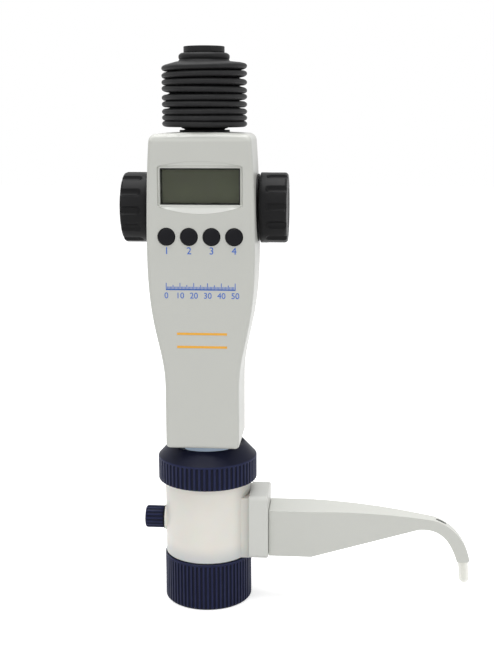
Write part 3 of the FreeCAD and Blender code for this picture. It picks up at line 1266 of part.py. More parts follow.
def arm_plan_face():
    """Arm seen from above: wide root, slim wrist, slimmer spout."""
    end = spout_middle_x() + 2 * SPOUT_HALF
    side = [(ARM_BOX_END + ARM_SEAM, ARM_HALF), (ARM_TAPER_X, ARM_HALF), (ARM_WRIST_X, ARM_WRIST_HALF),
            (TUBE_BEND_X + ARM_SLIM, SPOUT_HALF), (end, SPOUT_HALF)]
    return face_of([(x, -half, 0) for x, half in side] + [(x, half, 0) for x, half in reversed(side)])


def tube_path():
    """Middle line of the discharge tube: straight, one bend down, straight to the tip."""
    lean = math.radians(TUBE_LEAN)
    turn = math.pi / 2 - lean

    def on_bend(angle):
        drop = TUBE_BEND_R * (1 - math.cos(angle))
        return V(TUBE_BEND_X + TUBE_BEND_R * math.sin(angle), 0, VALVE_AXIS_Z - drop)

    start = V(OUTLET_X + OUTLET_R + RUN_GAP, 0, VALVE_AXIS_Z)
    bend_end = on_bend(turn)
    run = (bend_end.z - TUBE_END_Z) / math.cos(lean)
    tip = bend_end + V(math.sin(lean), 0, -math.cos(lean)) * run
    return start, on_bend(0), on_bend(turn / 2), bend_end, tip


def tube_solid(radius):
    start, bend_start, bend_mid, bend_end, tip = tube_path()
    wire = Part.Wire([line(start, bend_start), arc(bend_start, bend_mid, bend_end), line(bend_end, tip)])
    section = Part.Wire(Part.makeCircle(radius, start, ALONG_X))
    return wire.makePipeShell([section], True, False)


def arm_shell():
    """Moulded arm with the channel that the discharge tube runs in."""
    side = arm_side_face().extrude(V(0, 2 * ARM_HALF, 0))
    side.translate(V(0, -ARM_HALF, 0))
    plan = arm_plan_face().extrude(V(0, 0, 2 * ARM_HIGH))
    form = side.common(plan)
    return form.cut(tube_solid(TUBE_R + SEAT_GAP))


def discharge_tube():
    """Tube from the outlet valve to the tip."""
    return tube_solid(TUBE_R).cut(tube_solid(TUBE_BORE_R))


def tip_cap():
    """Round-ended closing cap that pushes onto the tube's tip, leaning with it."""
    lean = math.radians(TUBE_LEAN)
    along = V(math.sin(lean), 0, -math.cos(lean))
    top_z = SPOUT_END_Z - SEAT_GAP - CAP_TUBE_R * math.sin(lean)
    on_tube = (top_z - TUBE_END_Z) / math.cos(lean)
    top = tube_path()[-1] - along * on_tube
    length = on_tube + CAP_TUBE_END - CAP_TUBE_R
    body = Part.makeCylinder(CAP_TUBE_R, length, top, along)
    end = Part.makeSphere(CAP_TUBE_R, top + along * length)
    hole = Part.makeCylinder(TUBE_R + RUN_GAP, on_tube + TURN_GAP, top, along)
    return joined([body, end]).cut(hole)


def valve_knob():
    """Ribbed priming knob on the spindle."""
    outline = ribbed_outline(VALVE_KNOB_R, VALVE_KNOB_R - VALVE_KNOB_RIB_DEPTH, VALVE_KNOB_RIBS)
    grip = face_of([(KNOB_END_X, y, VALVE_AXIS_Z + z) for y, z in outline]).extrude(V(VALVE_KNOB_LENGTH, 0, 0))
    edge, ease = VALVE_KNOB_EDGE, VALVE_KNOB_FOOT_EASE
    envelope = turned_x([(KNOB_END_X, 0), (KNOB_END_X, VALVE_KNOB_R - edge), (KNOB_END_X + edge, VALVE_KNOB_R),
                         (KNOB_FOOT_X - ease, VALVE_KNOB_R), (KNOB_FOOT_X, VALVE_KNOB_R - ease),
                         (KNOB_FOOT_X, 0)], 0, VALVE_AXIS_Z)
    socket = rod_x(SPINDLE_R, KNOB_END_X + VALVE_KNOB_FACE, KNOB_FOOT_X, 0, VALVE_AXIS_Z)
    return grip.common(envelope).cut(socket)


def valve_spindle():
    """Priming valve's plug: cross hole over the return channel, ring grooves, end in the knob."""
    end = -SPINDLE_END_X - SEAT_GAP
    body = rod_x(SPINDLE_R, KNOB_END_X + VALVE_KNOB_FACE, end, 0, VALVE_AXIS_Z)
    body = body.cut(rod_y(RETURN_R, -SPINDLE_R, SPINDLE_R, -RETURN_X, VALVE_AXIS_Z))
    body = body.cut(rod_x(RETURN_R * SPINDLE_BORE_SHARE, -RETURN_X, end, 0, VALVE_AXIS_Z))
    for x in SPINDLE_SEAL_X:
        ring = rod_x(SPINDLE_R, x, x + SPINDLE_SEAL_WIDTH, 0, VALVE_AXIS_Z)
        core = rod_x(SPINDLE_R - SPINDLE_SEAL_DEPTH, x, x + SPINDLE_SEAL_WIDTH, 0, VALVE_AXIS_Z)
        body = body.cut(ring.cut(core))
    return body


def spindle_seals():
    """Sealing rings in the spindle's grooves, either side of its cross hole."""
    rings = []
    for x in SPINDLE_SEAL_X:
        ring = rod_x(SPINDLE_R + RUN_GAP - SEAL_GAP, x, x + SPINDLE_SEAL_WIDTH, 0, VALVE_AXIS_Z)
        core = rod_x(SPINDLE_R - SPINDLE_SEAL_DEPTH, x, x + SPINDLE_SEAL_WIDTH, 0, VALVE_AXIS_Z)
        rings.append(ring.cut(core))
    return Part.makeCompound(rings)


def knob_washer():
    """Thin black washer between the block and the priming knob."""
    start = KNOB_BOSS_X - WASHER_THICK
    disc = rod_x(VALVE_KNOB_R + WASHER_STAND, start, KNOB_BOSS_X, 0, VALVE_AXIS_Z)
    return disc.cut(rod_x(SPINDLE_R + RUN_GAP, start, KNOB_BOSS_X, 0, VALVE_AXIS_Z))


def all_parts():
    """Every sub-part by the name of its node."""
    front, rear = shells()
    side_wheel = wheel()
    parts = {
        "bottle_ring": bottle_ring(),
        "ring_clip": ring_clip(),
        "valve_block": valve_block(),
        "inlet_valve_seat": inlet_valve_seat(),
        "inlet_ball": ball(0, ball_centre_z(INSERT_TOP)),
        "inlet_ball_stop": inlet_ball_stop(),
        "outlet_valve_seat": outlet_valve_seat(),
        "outlet_ball": ball(OUTLET_X, ball_centre_z(OUTLET_SEAT_TOP)),
        "union_nut": union_nut(),
        "glass_cylinder": glass_cylinder(),
        "cylinder_seal": cylinder_seal(),
        "cylinder_sleeve": cylinder_sleeve(),
        "front_shell": front,
        "rear_shell": rear,
        "shell_screws": shell_screws(),
        "display_window": display_window(),
        "lcd_module": lcd_module(),
        "circuit_board": circuit_board(),
        "tact_switches": tact_switches(),
        "keypad_mat": keypad_mat(),
        "chassis": chassis(),
        "chassis_screws": chassis_screws(),
        "rack_guide": rack_guide(),
        "optical_sensor": optical_sensor(),
        "battery_tray": battery_tray(),
        "batteries": batteries(),
        "battery_contacts": battery_contacts(),
        "battery_cover": battery_cover(),
        "top_collar": top_collar(),
        "bellows": bellows(),
        "bellows_cap": bellows_cap(),
        "rack_rod": rack_rod(),
        "piston": piston(),
        "piston_seals": piston_seals(),
        "drive_shaft": drive_shaft(),
        "pinion": pinion(),
        "hand_wheel_right": turned_on_shaft(side_wheel, WHEEL_TURN_RIGHT),
        "hand_wheel_left": turned_on_shaft(mirrored_x(side_wheel), WHEEL_TURN_LEFT),
        "wheel_cap_right": wheel_cap(),
        "wheel_cap_left": mirrored_x(wheel_cap()),
        "wheel_screws": wheel_screws(),
        "bearing_right": bearing(),
        "bearing_left": mirrored_x(bearing()),
        "shaft_circlips": shaft_circlips(),
        "encoder_disc": encoder_disc(),
        "arm_mount": arm_mount(),
        "arm_mount_screws": arm_mount_screws(),
        "arm_shell": arm_shell(),
        "discharge_tube": discharge_tube(),
        "tip_cap": tip_cap(),
        "valve_knob": valve_knob(),
        "valve_spindle": valve_spindle(),
        "spindle_seals": spindle_seals(),
        "knob_washer": knob_washer(),
    }
    for name, x in zip(BUTTON_NAMES, button_places()):
        parts[name] = button(x)
    return parts


def main():
    os.makedirs("parts", exist_ok=True)
    for name, shape in all_parts().items():
        if not shape.isValid():
            print("not valid:", name)
        print(name, len(shape.Solids), "solid", round(shape.Volume, 1), "mm3")
        shape.exportStep(os.path.join("parts", name + ".step"))


main()
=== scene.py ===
"""Electronic bottle-top burette: moulded shells, display, rubber bellows, fluted wheels and ribbed grips."""
import json
import math

import bmesh
import bpy
from mathutils import Matrix, Vector
from mathutils.bvhtree import BVHTree


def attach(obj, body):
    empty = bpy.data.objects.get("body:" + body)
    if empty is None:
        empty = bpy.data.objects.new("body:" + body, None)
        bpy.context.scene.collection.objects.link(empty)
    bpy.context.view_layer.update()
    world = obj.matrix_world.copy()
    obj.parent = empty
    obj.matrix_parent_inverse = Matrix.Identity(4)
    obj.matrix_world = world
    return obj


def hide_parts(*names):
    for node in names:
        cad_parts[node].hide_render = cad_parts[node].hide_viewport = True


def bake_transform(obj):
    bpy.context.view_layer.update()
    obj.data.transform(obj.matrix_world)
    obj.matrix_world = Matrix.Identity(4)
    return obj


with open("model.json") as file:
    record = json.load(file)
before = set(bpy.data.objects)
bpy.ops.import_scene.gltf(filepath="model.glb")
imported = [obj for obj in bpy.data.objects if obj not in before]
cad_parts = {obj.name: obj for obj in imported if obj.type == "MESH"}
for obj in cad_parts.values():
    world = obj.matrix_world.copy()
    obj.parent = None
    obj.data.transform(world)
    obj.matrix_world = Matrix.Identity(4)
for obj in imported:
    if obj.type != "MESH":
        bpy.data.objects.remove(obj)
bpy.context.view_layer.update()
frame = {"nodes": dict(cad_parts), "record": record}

MM = 0.001

# Sizes in millimetres, as the burette's drawing gives them. Shaft and hand wheels
SHAFT_Y = 5.0
SHAFT_Z = 249.0
WHEEL_R = 21.26
WHEEL_OUTER = 49.9
WHEEL_WIDTH = 16.5
WHEEL_BORE_R = 3.05
WHEEL_BAND = 3.7
WHEEL_RIM_R = 1.8
WHEEL_CAP_R = 12.0
WHEEL_CAP_DEPTH = 1.6
FLUTES = 12
FLUTE_R = 2.6
FLUTE_DEPTH = 1.7
FLUTE_EASE = 0.5
FLUTE_POINTS = 26
RIGHT_PHASE = 24.5
LEFT_PHASE = -1.0

# Ribbed ring, nut and knob
RING_R = 27.5
RING_HEIGHT = 30.2
RING_RIBS = 64
RING_BORE_R = 22.6
RING_BORE_DEPTH = 20.0
RING_RELIEF_R = 23.5
RING_MOUTH_R = 18.5
RING_ROOF = 4.0
RIB_DEPTH = 0.75
RIB_POINTS = 10
GROOVE_SHARE = 0.31
GROOVE_WALL_SHARE = 0.14
CREST_BAND = 0.7
RIM_PLAIN = 1.3
NUT_R = 31.0
NUT_BOTTOM = 79.2
NUT_SHOULDER = 94.0
NUT_TOP = 102.2
NUT_TOP_R = 23.4
NUT_THROAT_R = 15.05
NUT_BORE_R = 26.3
NUT_LEDGE = 93.3
NUT_RIBS = 62
KNOB_R = 7.05
KNOB_FOOT = (-28.3, 0.0, 51.0)
KNOB_LENGTH = 11.7
KNOB_RIBS = 18
KNOB_RIB_DEPTH = 0.55
KNOB_RIB_POINTS = 14
KNOB_BORE_R = 3.1

# Where the valve block's greyer foot and its painted shade beside the arm fade out, up from its foot and in
# from its side
BLOCK_FOOT = (31.0, 42.0)
BLOCK_SIDE_SHADE = (17.0, 29.0)

# Housing and bellows
HOUSING_FRONT = -26.8
HOUSING_TOP = 294.6
LIPS = 9
LIP_R = 25.4
LIP_PITCH = 4.04
LIP_HALF = 1.9
FIRST_LIP_Z = 299.9
VALLEY_R = 20.6
HINGE_R = 18.6
NECK_R = 12.8
BLOOM_R = 20.0
RUBBER_WALL = 1.3
LIP_WAVE = 0.12
LIP_WAVE_TURN = 1.7
ROLL_R = 14.8
ROLL_BOTTOM = 335.4
ROLL_TOP = 340.4
CAP_R = 12.15
CAP_TOP = 344.0

# Rubber never stacks evenly: each lip's rise at rest from the lowest up, and its right side's further rise
LIP_RISES = (-0.75, -1.35, -1.65, -1.4, -1.5, -1.05, -0.75, -0.4, -0.25)
LIP_TILTS = (-0.1, -0.1, 0.0, -0.1, 0.3, -0.6, 0.0, 0.7, 0.7)

# Buttons and display
BUTTON_R = 5.0
BUTTON_Z = 234.3
BUTTON_PITCH = 13.3
BUTTON_BACK_Y = -24.0
BUTTON_TIP_Y = -28.2
BUTTON_NAMES = ("memory_button", "dose_button", "titrate_button", "reset_button")
BUTTON_XS = tuple((index - 1.5) * BUTTON_PITCH for index in range(4))
DISPLAY_Z = 263.5
DISPLAY_HALF = 23.4
DISPLAY_HALF_HEIGHT = 10.5
# Dark border painted round the display as the shade of its recess, and how softly it fades
DISPLAY_SHADE_BORDER = 1.1
SHADE_BORDER_FADE = 0.3
SILL_FADE = 1.5
DISPLAY_GLASS_Y = -22.9
DISPLAY_GLASS_DEPTH = 0.25

# Roll of the housing's front under its top edge, and the dark sheet painted as the shade in the slot on the
# hook
BROW_SIDE = 5.6
BROW_MIDDLE = 4.0
BROW_DEPTH = 2.0
BROW_BACK = -14.0
BROW_CUTS = 10
BROW_CUT_PITCH = 0.55
BROW_CUT_REACH = 12.0
BROW_ROLL = 1.6
SLOT_START = 144.3
SLOT_END = 150.6
SLOT_HALF = 1.3
SLOT_BLUNT = 0.12
SLOT_STEPS = 12
SLOT_LIFT = 0.05
SLOT_DEPTH = 0.12

# Pocket round the display
POCKET_HALF = 25.0
POCKET_LOW = 252.0
POCKET_HIGH = 275.2
POCKET_LOW_BOW = 4.3
POCKET_HIGH_BOW = 2.9
LOOP_STEPS = 12

# Prints on the front
INK_HALF = 0.05
GLYPH_MERGE = 0.005
NUMBER_Z = 225.9
NUMBER_SIZE = 6.0
SCALE_Z = 203.0
SCALE_PITCH = 0.82
SCALE_END = 50
SCALE_BAR_HALF = 0.3
SCALE_NUMBER_DROP = 3.7
SCALE_NUMBER_SIZE = 5.0
MARK_HALF = 0.2
TEN_MARK = 4.0
FIVE_MARK = 2.8
ONE_MARK = 1.8
LINE_X = 0.5
LINE_HALF = 15.0
LINE_HALF_HEIGHT = 0.7
LINE_Z = (176.4, 168.4)

# Width of the eased edges on the drawing's own moulded parts: 0 leaves their edges as drawn
EASED_NODES = {
    "front_shell": 0, "rear_shell": 0, "arm_shell": 0.3, "arm_mount": 0.2, "valve_block": 0.25,
    "battery_cover": 0.2, "top_collar": 0.1, "bearing_left": 0.1, "bearing_right": 0.1, "knob_washer": 0.05,
    "cylinder_sleeve": 0.05, "tip_cap": 0.1, "discharge_tube": 0.05, "inlet_valve_seat": 0.1,
    "ring_clip": 0.05,
}
EASED_SEGMENTS = 3

# Angles in degrees: under the first, faces become one; over the others, edges are shaded sharp or eased
FLAT_ANGLE = 0.4
SHARP_ANGLE = 28
EASED_ANGLE = 32

# Studio: the camera stands where the photograph was taken from
CAMERA_PLACE = (82.359, -663.867, 305.605)
CAMERA_YAW = 4.930
CAMERA_PITCH = 11.150
CAMERA_ROLL = -0.121
CAMERA_LENS = 60.09
AMBIENT = 0.34
FLOOR_Z = -0.2
FLOOR_HALF = 4000.0
FLOOR_LIFT_NEAR = 0.62
FLOOR_LIFT_FAR = 0.85
FLOOR_LIFT_START = 250.0
FLOOR_LIFT_END = 1600.0


def srgb(red, green, blue):
    """A colour measured from 0 to 255, as the linear values that the shaders take."""
    def linear(level):
        share = level / 255
        return share / 12.92 if share <= 0.04045 else ((share + 0.055) / 1.055) ** 2.4
    return (linear(red), linear(green), linear(blue), 1.0)


def shaded(colour, factor):
    return tuple(min(1.0, part * factor) for part in colour[:3]) + (1.0,)


class Level:
    """A number that varies over a finish: Python's operators on it add Math nodes."""

    def __init__(self, finish, socket):
        self.finish = finish
        self.socket = socket

    def maths(self, operation, *values):
        return self.finish.add("ShaderNodeMath", {"operation": operation}, dict(enumerate(values)))

    def __add__(self, other):
        return self.maths("ADD", self, other)

    def __sub__(self, other):
        return self.maths("SUBTRACT", self, other)

    def __rsub__(self, other):
        return self.maths("SUBTRACT", other, self)

    def __mul__(self, other):
        return self.maths("MULTIPLY", self, other)

    def __abs__(self):
        return self.maths("ABSOLUTE", self)

    def __pow__(self, other):
        return self.maths("POWER", self, other)


class Nodes:
    """A node tree and the one way that nodes are added to it."""

    def __init__(self, tree):
        self.tree = tree

    def add(self, kind, settings=None, sockets=None, output=0):
        """Adds a node: its settings first, then the values or links of its sockets."""
        node = self.tree.nodes.new(kind)
        for name, value in (settings or {}).items():
            setattr(node, name, value)
        for name, value in (sockets or {}).items():
            self.join(node.inputs[name], value)
        return Level(self, node.outputs[output])

    def join(self, socket, value):
        if isinstance(value, Level):
            self.tree.links.new(value.socket, socket)
        else:
            socket.default_value = value

    def seen(self):
        """1 for what the camera sees directly, in a gloss or through glass, and 0 for light on surfaces."""
        rays = [self.add("ShaderNodeLightPath", output=ray)
                for ray in ("Is Camera Ray", "Is Glossy Ray", "Is Transmission Ray")]
        return self.add("ShaderNodeMath", {"operation": "MAXIMUM"}, {0: rays[0] + rays[1], 1: rays[2]})


class Finish(Nodes):
    """One material of the burette, made round a single surface shader."""

    def __init__(self, name, colour, roughness, **constants):
        self.material = bpy.data.materials.new(name)
        self.material.use_nodes = True
        super().__init__(self.material.node_tree)
        self.shader = self.tree.nodes["Principled BSDF"]
        self.feed("Base Color", colour)
        self.feed("Roughness", roughness)
        for socket, value in constants.items():
            self.feed(socket.replace("_", " "), value)
        self.material.diffuse_color = colour
        self.place = self.add("ShaderNodeTexCoord", output="Object")

    def feed(self, socket, value):
        """Gives the surface shader's socket a value or a link."""
        self.join(self.shader.inputs[socket], value)

    def noise(self, size, detail=2.0, stretch=(1, 1, 1)):
        """Soft noise whose patches are about this many millimetres across."""
        place = self.add("ShaderNodeMapping", {}, {"Vector": self.place, "Scale": stretch})
        sockets = {"Vector": place, "Scale": 1 / (size * MM), "Detail": detail}
        return self.add("ShaderNodeTexNoise", {"noise_dimensions": "3D"}, sockets)

    def along(self, axis):
        return self.add("ShaderNodeSeparateXYZ", {}, {"Vector": self.place}, output=axis)

    def ramp(self, value, low, high):
        """0 below low, 1 above high, smooth between."""
        sockets = {"Value": value, "From Min": low, "From Max": high}
        return self.add("ShaderNodeMapRange", {"interpolation_type": "SMOOTHSTEP"}, sockets)

    def blend(self, first, second, share):
        sockets = {0: share, 6: first, 7: second}
        return self.add("ShaderNodeMix", {"data_type": "RGBA"}, sockets, output=2)

    def relief(self, height, depth):
        """Raises the surface by up to depth millimetres where height is 1."""
        sockets = {"Height": height, "Distance": depth * MM, "Strength": 1.0}
        self.feed("Normal", self.add("ShaderNodeBump", {}, sockets))


def moulded(name, colour, roughness, grain=0.5, depth=0.01, cloud=0.03, **constants):
    """Injection-moulded plastic: eroded grain, faint flow clouds and uneven gloss."""
    finish = Finish(name, colour, roughness, **constants)
    clouds = finish.noise(22, 3)
    fine = finish.noise(grain, 2)
    finish.feed("Base Color", finish.blend(shaded(colour, 1 - cloud), shaded(colour, 1 + cloud), clouds))
    finish.feed("Roughness", clouds * 0.12 + (roughness - 0.06))
    finish.relief(fine, depth)
    return finish


def rubber():
    """Black moulded rubber: dull, with pale bloom on the lips' outer edges."""
    colour = srgb(23, 23, 24)
    finish = Finish("bellows_rubber", colour, 0.6, Specular_IOR_Level=0.2)
    across = finish.along("X")
    deep = finish.along("Y")
    radius = (across ** 2 + deep ** 2) ** 0.5
    bloom = finish.ramp(radius, BLOOM_R * MM, LIP_R * MM) * finish.noise(3, 4)
    finish.feed("Base Color", finish.blend(colour, srgb(39, 39, 40), bloom))
    finish.feed("Roughness", finish.noise(6, 3) * 0.2 + 0.45)
    finish.relief(finish.noise(0.7, 3), 0.03)
    return finish


def navy(name, crest_r, axis_place, axis):
    """Dark blue plastic of the grips, rubbed paler on the ribs' crests; in from the crests, in the grooves
    and on the nut's cone under the housing, the colour is painted darker as shade.
    """
    colour = srgb(28, 33, 62)
    finish = Finish(name, colour, 0.42, Specular_IOR_Level=0.12)
    offsets = [finish.along(letter) - middle * MM
               for letter, middle in zip("XYZ", axis_place) if letter != axis]
    radius = (offsets[0] ** 2 + offsets[1] ** 2) ** 0.5
    crest = finish.ramp(radius, (crest_r - CREST_BAND) * MM, crest_r * MM)
    wear_over_painted_shade = crest * (finish.noise(5, 3) * 0.5 + 0.45)
    # Painted shade: grooves, chamfers and the nut's cone take the darkened colour; the paler crests are
    # rubbed wear, patchy by noise
    finish.feed("Base Color", finish.blend(shaded(colour, 0.42), srgb(40, 46, 80), wear_over_painted_shade))
    finish.feed("Roughness", finish.noise(9, 2) * 0.18 + 0.34)
    finish.relief(finish.noise(0.45, 2), 0.012)
    return finish


def milky_block():
    """Milky fluoropolymer of the valve block: waxy, greyer at its foot, painted darker beside the arm as
    shade, with turning marks.
    """
    colour = srgb(236, 233, 225)
    finish = Finish("milky_block", colour, 0.38, Subsurface_Weight=0.2, Subsurface_Scale=0.004)
    foot = 1 - finish.ramp(finish.along("Z"), BLOCK_FOOT[0] * MM, BLOCK_FOOT[1] * MM)
    side = finish.ramp(finish.along("X"), BLOCK_SIDE_SHADE[0] * MM, BLOCK_SIDE_SHADE[1] * MM)
    cloud = finish.noise(14, 3)
    inner = finish.blend(shaded(colour, 0.97), shaded(colour, 1.02), cloud)
    pale = finish.blend(inner, srgb(190, 196, 199), foot * 0.65)
    # Painted shade: the block darkens towards the arm box beside it
    finish.feed("Base Color", finish.blend(pale, srgb(192, 191, 184), side * 0.85))
    finish.feed("Roughness", cloud * 0.15 + 0.3)
    finish.relief(finish.noise(1.2, 2, (0.05, 0.05, 1)), 0.006)
    return finish


def brushed_steel():
    finish = Finish("ground_steel", srgb(172, 173, 175), 0.3, Metallic=1.0)
    lines = finish.noise(0.4, 2, (1, 1, 0.03))
    finish.feed("Roughness", lines * 0.2 + 0.2)
    finish.relief(lines, 0.002)
    return finish


def clear(name, colour, alpha, roughness, painted_glow=0.0):
    """Clear or milky part, of which a share is seen through; it may glow with painted light, though it is no
    lamp.
    """
    finish = Finish(name, colour, roughness, IOR=1.45, Emission_Strength=painted_glow)
    haze = finish.noise(4, 3)
    # The emission is painted light: the part glows though it is no lamp
    finish.feed("Emission Color", finish.blend(shaded(colour, 0.96), colour, haze))
    finish.feed("Alpha", haze * 0.1 + (alpha - 0.05))
    finish.feed("Roughness", haze * 0.06 + roughness)
    return finish


def display_glass():
    """Reflective display: olive grey with a soft uneven tint, and a dark border painted as the shade of its
    recess.
    """
    colour = srgb(76, 79, 63)
    finish = Finish("display_glass", colour, 0.35, Specular_IOR_Level=0.12)
    cloud = finish.noise(16, 2)
    tint = finish.blend(srgb(72, 72, 62), srgb(80, 86, 66), cloud)
    across = abs(finish.along("X"))
    height = abs(finish.along("Z") - DISPLAY_Z * MM)
    side = DISPLAY_HALF - DISPLAY_SHADE_BORDER
    top = DISPLAY_HALF_HEIGHT - DISPLAY_SHADE_BORDER
    # Painted shade: the display darkens in a band round its edges, where its recess would shade it
    edge = finish.add("ShaderNodeMath", {"operation": "MAXIMUM"}, {
        0: finish.ramp(across, side * MM, (side + SHADE_BORDER_FADE) * MM),
        1: finish.ramp(height, top * MM, (top + SHADE_BORDER_FADE) * MM)})
    finish.feed("Base Color", finish.blend(tint, srgb(22, 23, 20), edge))
    finish.feed("Roughness", cloud * 0.1 + 0.28)
    finish.relief(finish.noise(0.6, 0), 0.004)
    return finish


def bezel():
    """The housing's plastic round the display, painted a little lighter than the housing, and lighter still
    below the window's sill, for the light that its upward slope catches.
    """
    finish = Finish("bezel_plastic", srgb(206, 207, 201), 0.3)
    sill = DISPLAY_Z - DISPLAY_HALF_HEIGHT
    painted_sill_light = 1 - finish.ramp(finish.along("Z"), (sill - SILL_FADE) * MM, (sill + SILL_FADE) * MM)
    # Painted light: below the sill the bezel is lighter, as if lit from above
    finish.feed("Base Color", finish.blend(srgb(204, 205, 199), srgb(219, 220, 215), painted_sill_light))
    finish.relief(finish.noise(0.6, 2), 0.008)
    return finish


def printed(name, colour):
    """Pad-printed ink with slightly ragged cover."""
    finish = Finish(name, colour, 0.45)
    finish.feed("Base Color", finish.blend(shaded(colour, 0.9), shaded(colour, 1.08), finish.noise(1.5, 3)))
    finish.feed("Roughness", finish.noise(3, 2) * 0.15 + 0.38)
    return finish


RING_AXIS = (0.0, 0.0, 0.0)
FINISHES = {
    "housing_plastic": moulded("housing_plastic", srgb(200, 201, 195), 0.34, 0.6, 0.01, 0.015),
    "arm_plastic": moulded("arm_plastic", srgb(206, 207, 201), 0.4, 0.6, 0.012, 0.015),
    "mount_plastic": moulded("mount_plastic", srgb(213, 214, 209), 0.42, 0.6, 0.012, 0.015),
    "natural_block": milky_block(),
    "navy_plastic": navy("navy_plastic", RING_R, RING_AXIS, "Z"),
    "black_rubber": rubber(),
    "black_plastic": moulded("black_plastic", srgb(28, 28, 29), 0.42, 0.5, 0.015, 0.1,
                             Specular_IOR_Level=0.1),
    "white_fluoropolymer": moulded("white_fluoropolymer", srgb(232, 232, 228), 0.35, 0.8, 0.006, 0.02),
    # The tube and the sleeve glow with painted light
    "clear_tube": clear("clear_tube", srgb(236, 236, 229), 0.66, 0.25, 0.12),
    "barrel_glass": clear("barrel_glass", srgb(222, 235, 240), 0.25, 0.05),
    "sleeve_clear": clear("sleeve_clear", srgb(188, 204, 220), 0.9, 0.12, 0.35),
    "steel": brushed_steel(),
    "ball_ceramic": moulded("ball_ceramic", srgb(242, 240, 232), 0.15, 0.5, 0.001, 0.01),
    "board_green": moulded("board_green", srgb(24, 82, 45), 0.35, 0.9, 0.02, 0.08),
    "display_grey": moulded("display_grey", srgb(62, 64, 56), 0.35, 0.5, 0.004, 0.05),
    "battery_jacket": moulded("battery_jacket", srgb(84, 88, 92), 0.3, 0.7, 0.004, 0.06),
}
NUT_FINISH = navy("nut_plastic", NUT_R, RING_AXIS, "Z")
KNOB_FINISH = navy("knob_plastic", KNOB_R, KNOB_FOOT, "X")
BUTTON_FINISH = moulded("button_plastic", srgb(27, 27, 30), 0.45, 0.4, 0.01, 0.08, Specular_IOR_Level=0.08)
WINDOW_FINISH = clear("display_window_clear", srgb(120, 124, 112), 0.06, 0.12)
GLASS_FINISH = display_glass()
BEZEL_FINISH = bezel()
BLUE_INK = printed("blue_ink", srgb(48, 103, 196))
ORANGE_INK = printed("orange_ink", srgb(240, 176, 62))


def piece(name, form, body, finish, replaces=(), sharp=35):
    """Makes a finished form a piece of the burette, riding on its body."""
    mesh = bpy.data.meshes.new(name)
    form.to_mesh(mesh)
    form.free()
    mesh.shade_smooth()
    mesh.set_sharp_from_angle(angle=math.radians(sharp))
    made = bpy.data.objects.new(name, mesh)
    bpy.context.scene.collection.objects.link(made)
    mesh.materials.append(finish.material)
    if replaces:
        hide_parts(*replaces)
    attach(made, body)
    return made


def recalculated(form):
    bmesh.ops.remove_doubles(form, verts=form.verts, dist=1e-7)
    bmesh.ops.recalc_face_normals(form, faces=form.faces)
    return form


def softened(form, width, segments=3, angle=30):
    """Rounds every edge that turns by more than the angle."""
    sharp = [edge for edge in form.edges
             if len(edge.link_faces) == 2 and edge.calc_face_angle() > math.radians(angle)]
    bmesh.ops.bevel(form, geom=sharp, offset=width * MM, offset_type="OFFSET", affect="EDGES",
                    segments=segments, profile=0.5, material=-1, clamp_overlap=True)
    return form


def turned(outline, steps=96):
    """Form turned round Z from an outline of (radius, height) points, closed back to its start."""
    form = bmesh.new()
    points = [form.verts.new((radius * MM, 0, height * MM)) for radius, height in outline]
    edges = [form.edges.new(pair) for pair in zip(points, points[1:])]
    if outline[0][0] > 0:
        edges.append(form.edges.new((points[-1], points[0])))
    bmesh.ops.spin(form, geom=points + edges, axis=(0, 0, 1), cent=(0, 0, 0), dvec=(0, 0, 0),
                   angle=2 * math.pi, steps=steps, use_merge=True, use_duplicate=False)
    return recalculated(form)


def stacked(levels, points, radius_at):
    """Round wall drawn up ring by ring, closed from its last ring back to its first.

    levels are (height, radius) pairs, and radius_at(angle, height, radius) carves the grip into them."""
    form = bmesh.new()
    height, radius = levels[0]
    ring = bmesh.ops.create_circle(form, cap_ends=False, segments=points, radius=radius * MM)["verts"]
    place_ring(ring, height, radius, radius_at)
    first = edges = list(form.edges)
    for height, radius in levels[1:]:
        drawn = bmesh.ops.extrude_edge_only(form, edges=edges)["geom"]
        ring = {vert for vert in drawn if isinstance(vert, bmesh.types.BMVert)}
        edges = [edge for edge in drawn
                 if isinstance(edge, bmesh.types.BMEdge) and ring.issuperset(edge.verts)]
        place_ring(ring, height, radius, radius_at)
    bmesh.ops.bridge_loops(form, edges=first + edges)
    return recalculated(form)


def place_ring(ring, height, radius, radius_at):
    for vert in ring:
        angle = math.atan2(vert.co.y, vert.co.x)
        reach = radius_at(angle, height, radius) * MM
        vert.co = Vector((reach * math.cos(angle), reach * math.sin(angle), height * MM))


def eased_step(share):
    share = max(0.0, min(1.0, share))
    return share * share * (3 - 2 * share)


def ribbed(crest, depth, ribs, low, high):
    """Rule for a ribbed grip: grooves with rounded ends between flat crests."""
    pitch = 2 * math.pi * crest / ribs
    half = pitch * GROOVE_SHARE
    wall = pitch * GROOVE_WALL_SHARE

    def radius_at(angle, height, radius):
        across = abs((angle * ribs / (2 * math.pi)) % 1 - 0.5) * pitch
        beyond = max(0.0, low - height, height - high)
        cut = depth * eased_step((half - math.hypot(across, beyond)) / wall)
        return min(radius, crest - cut)
    return radius_at


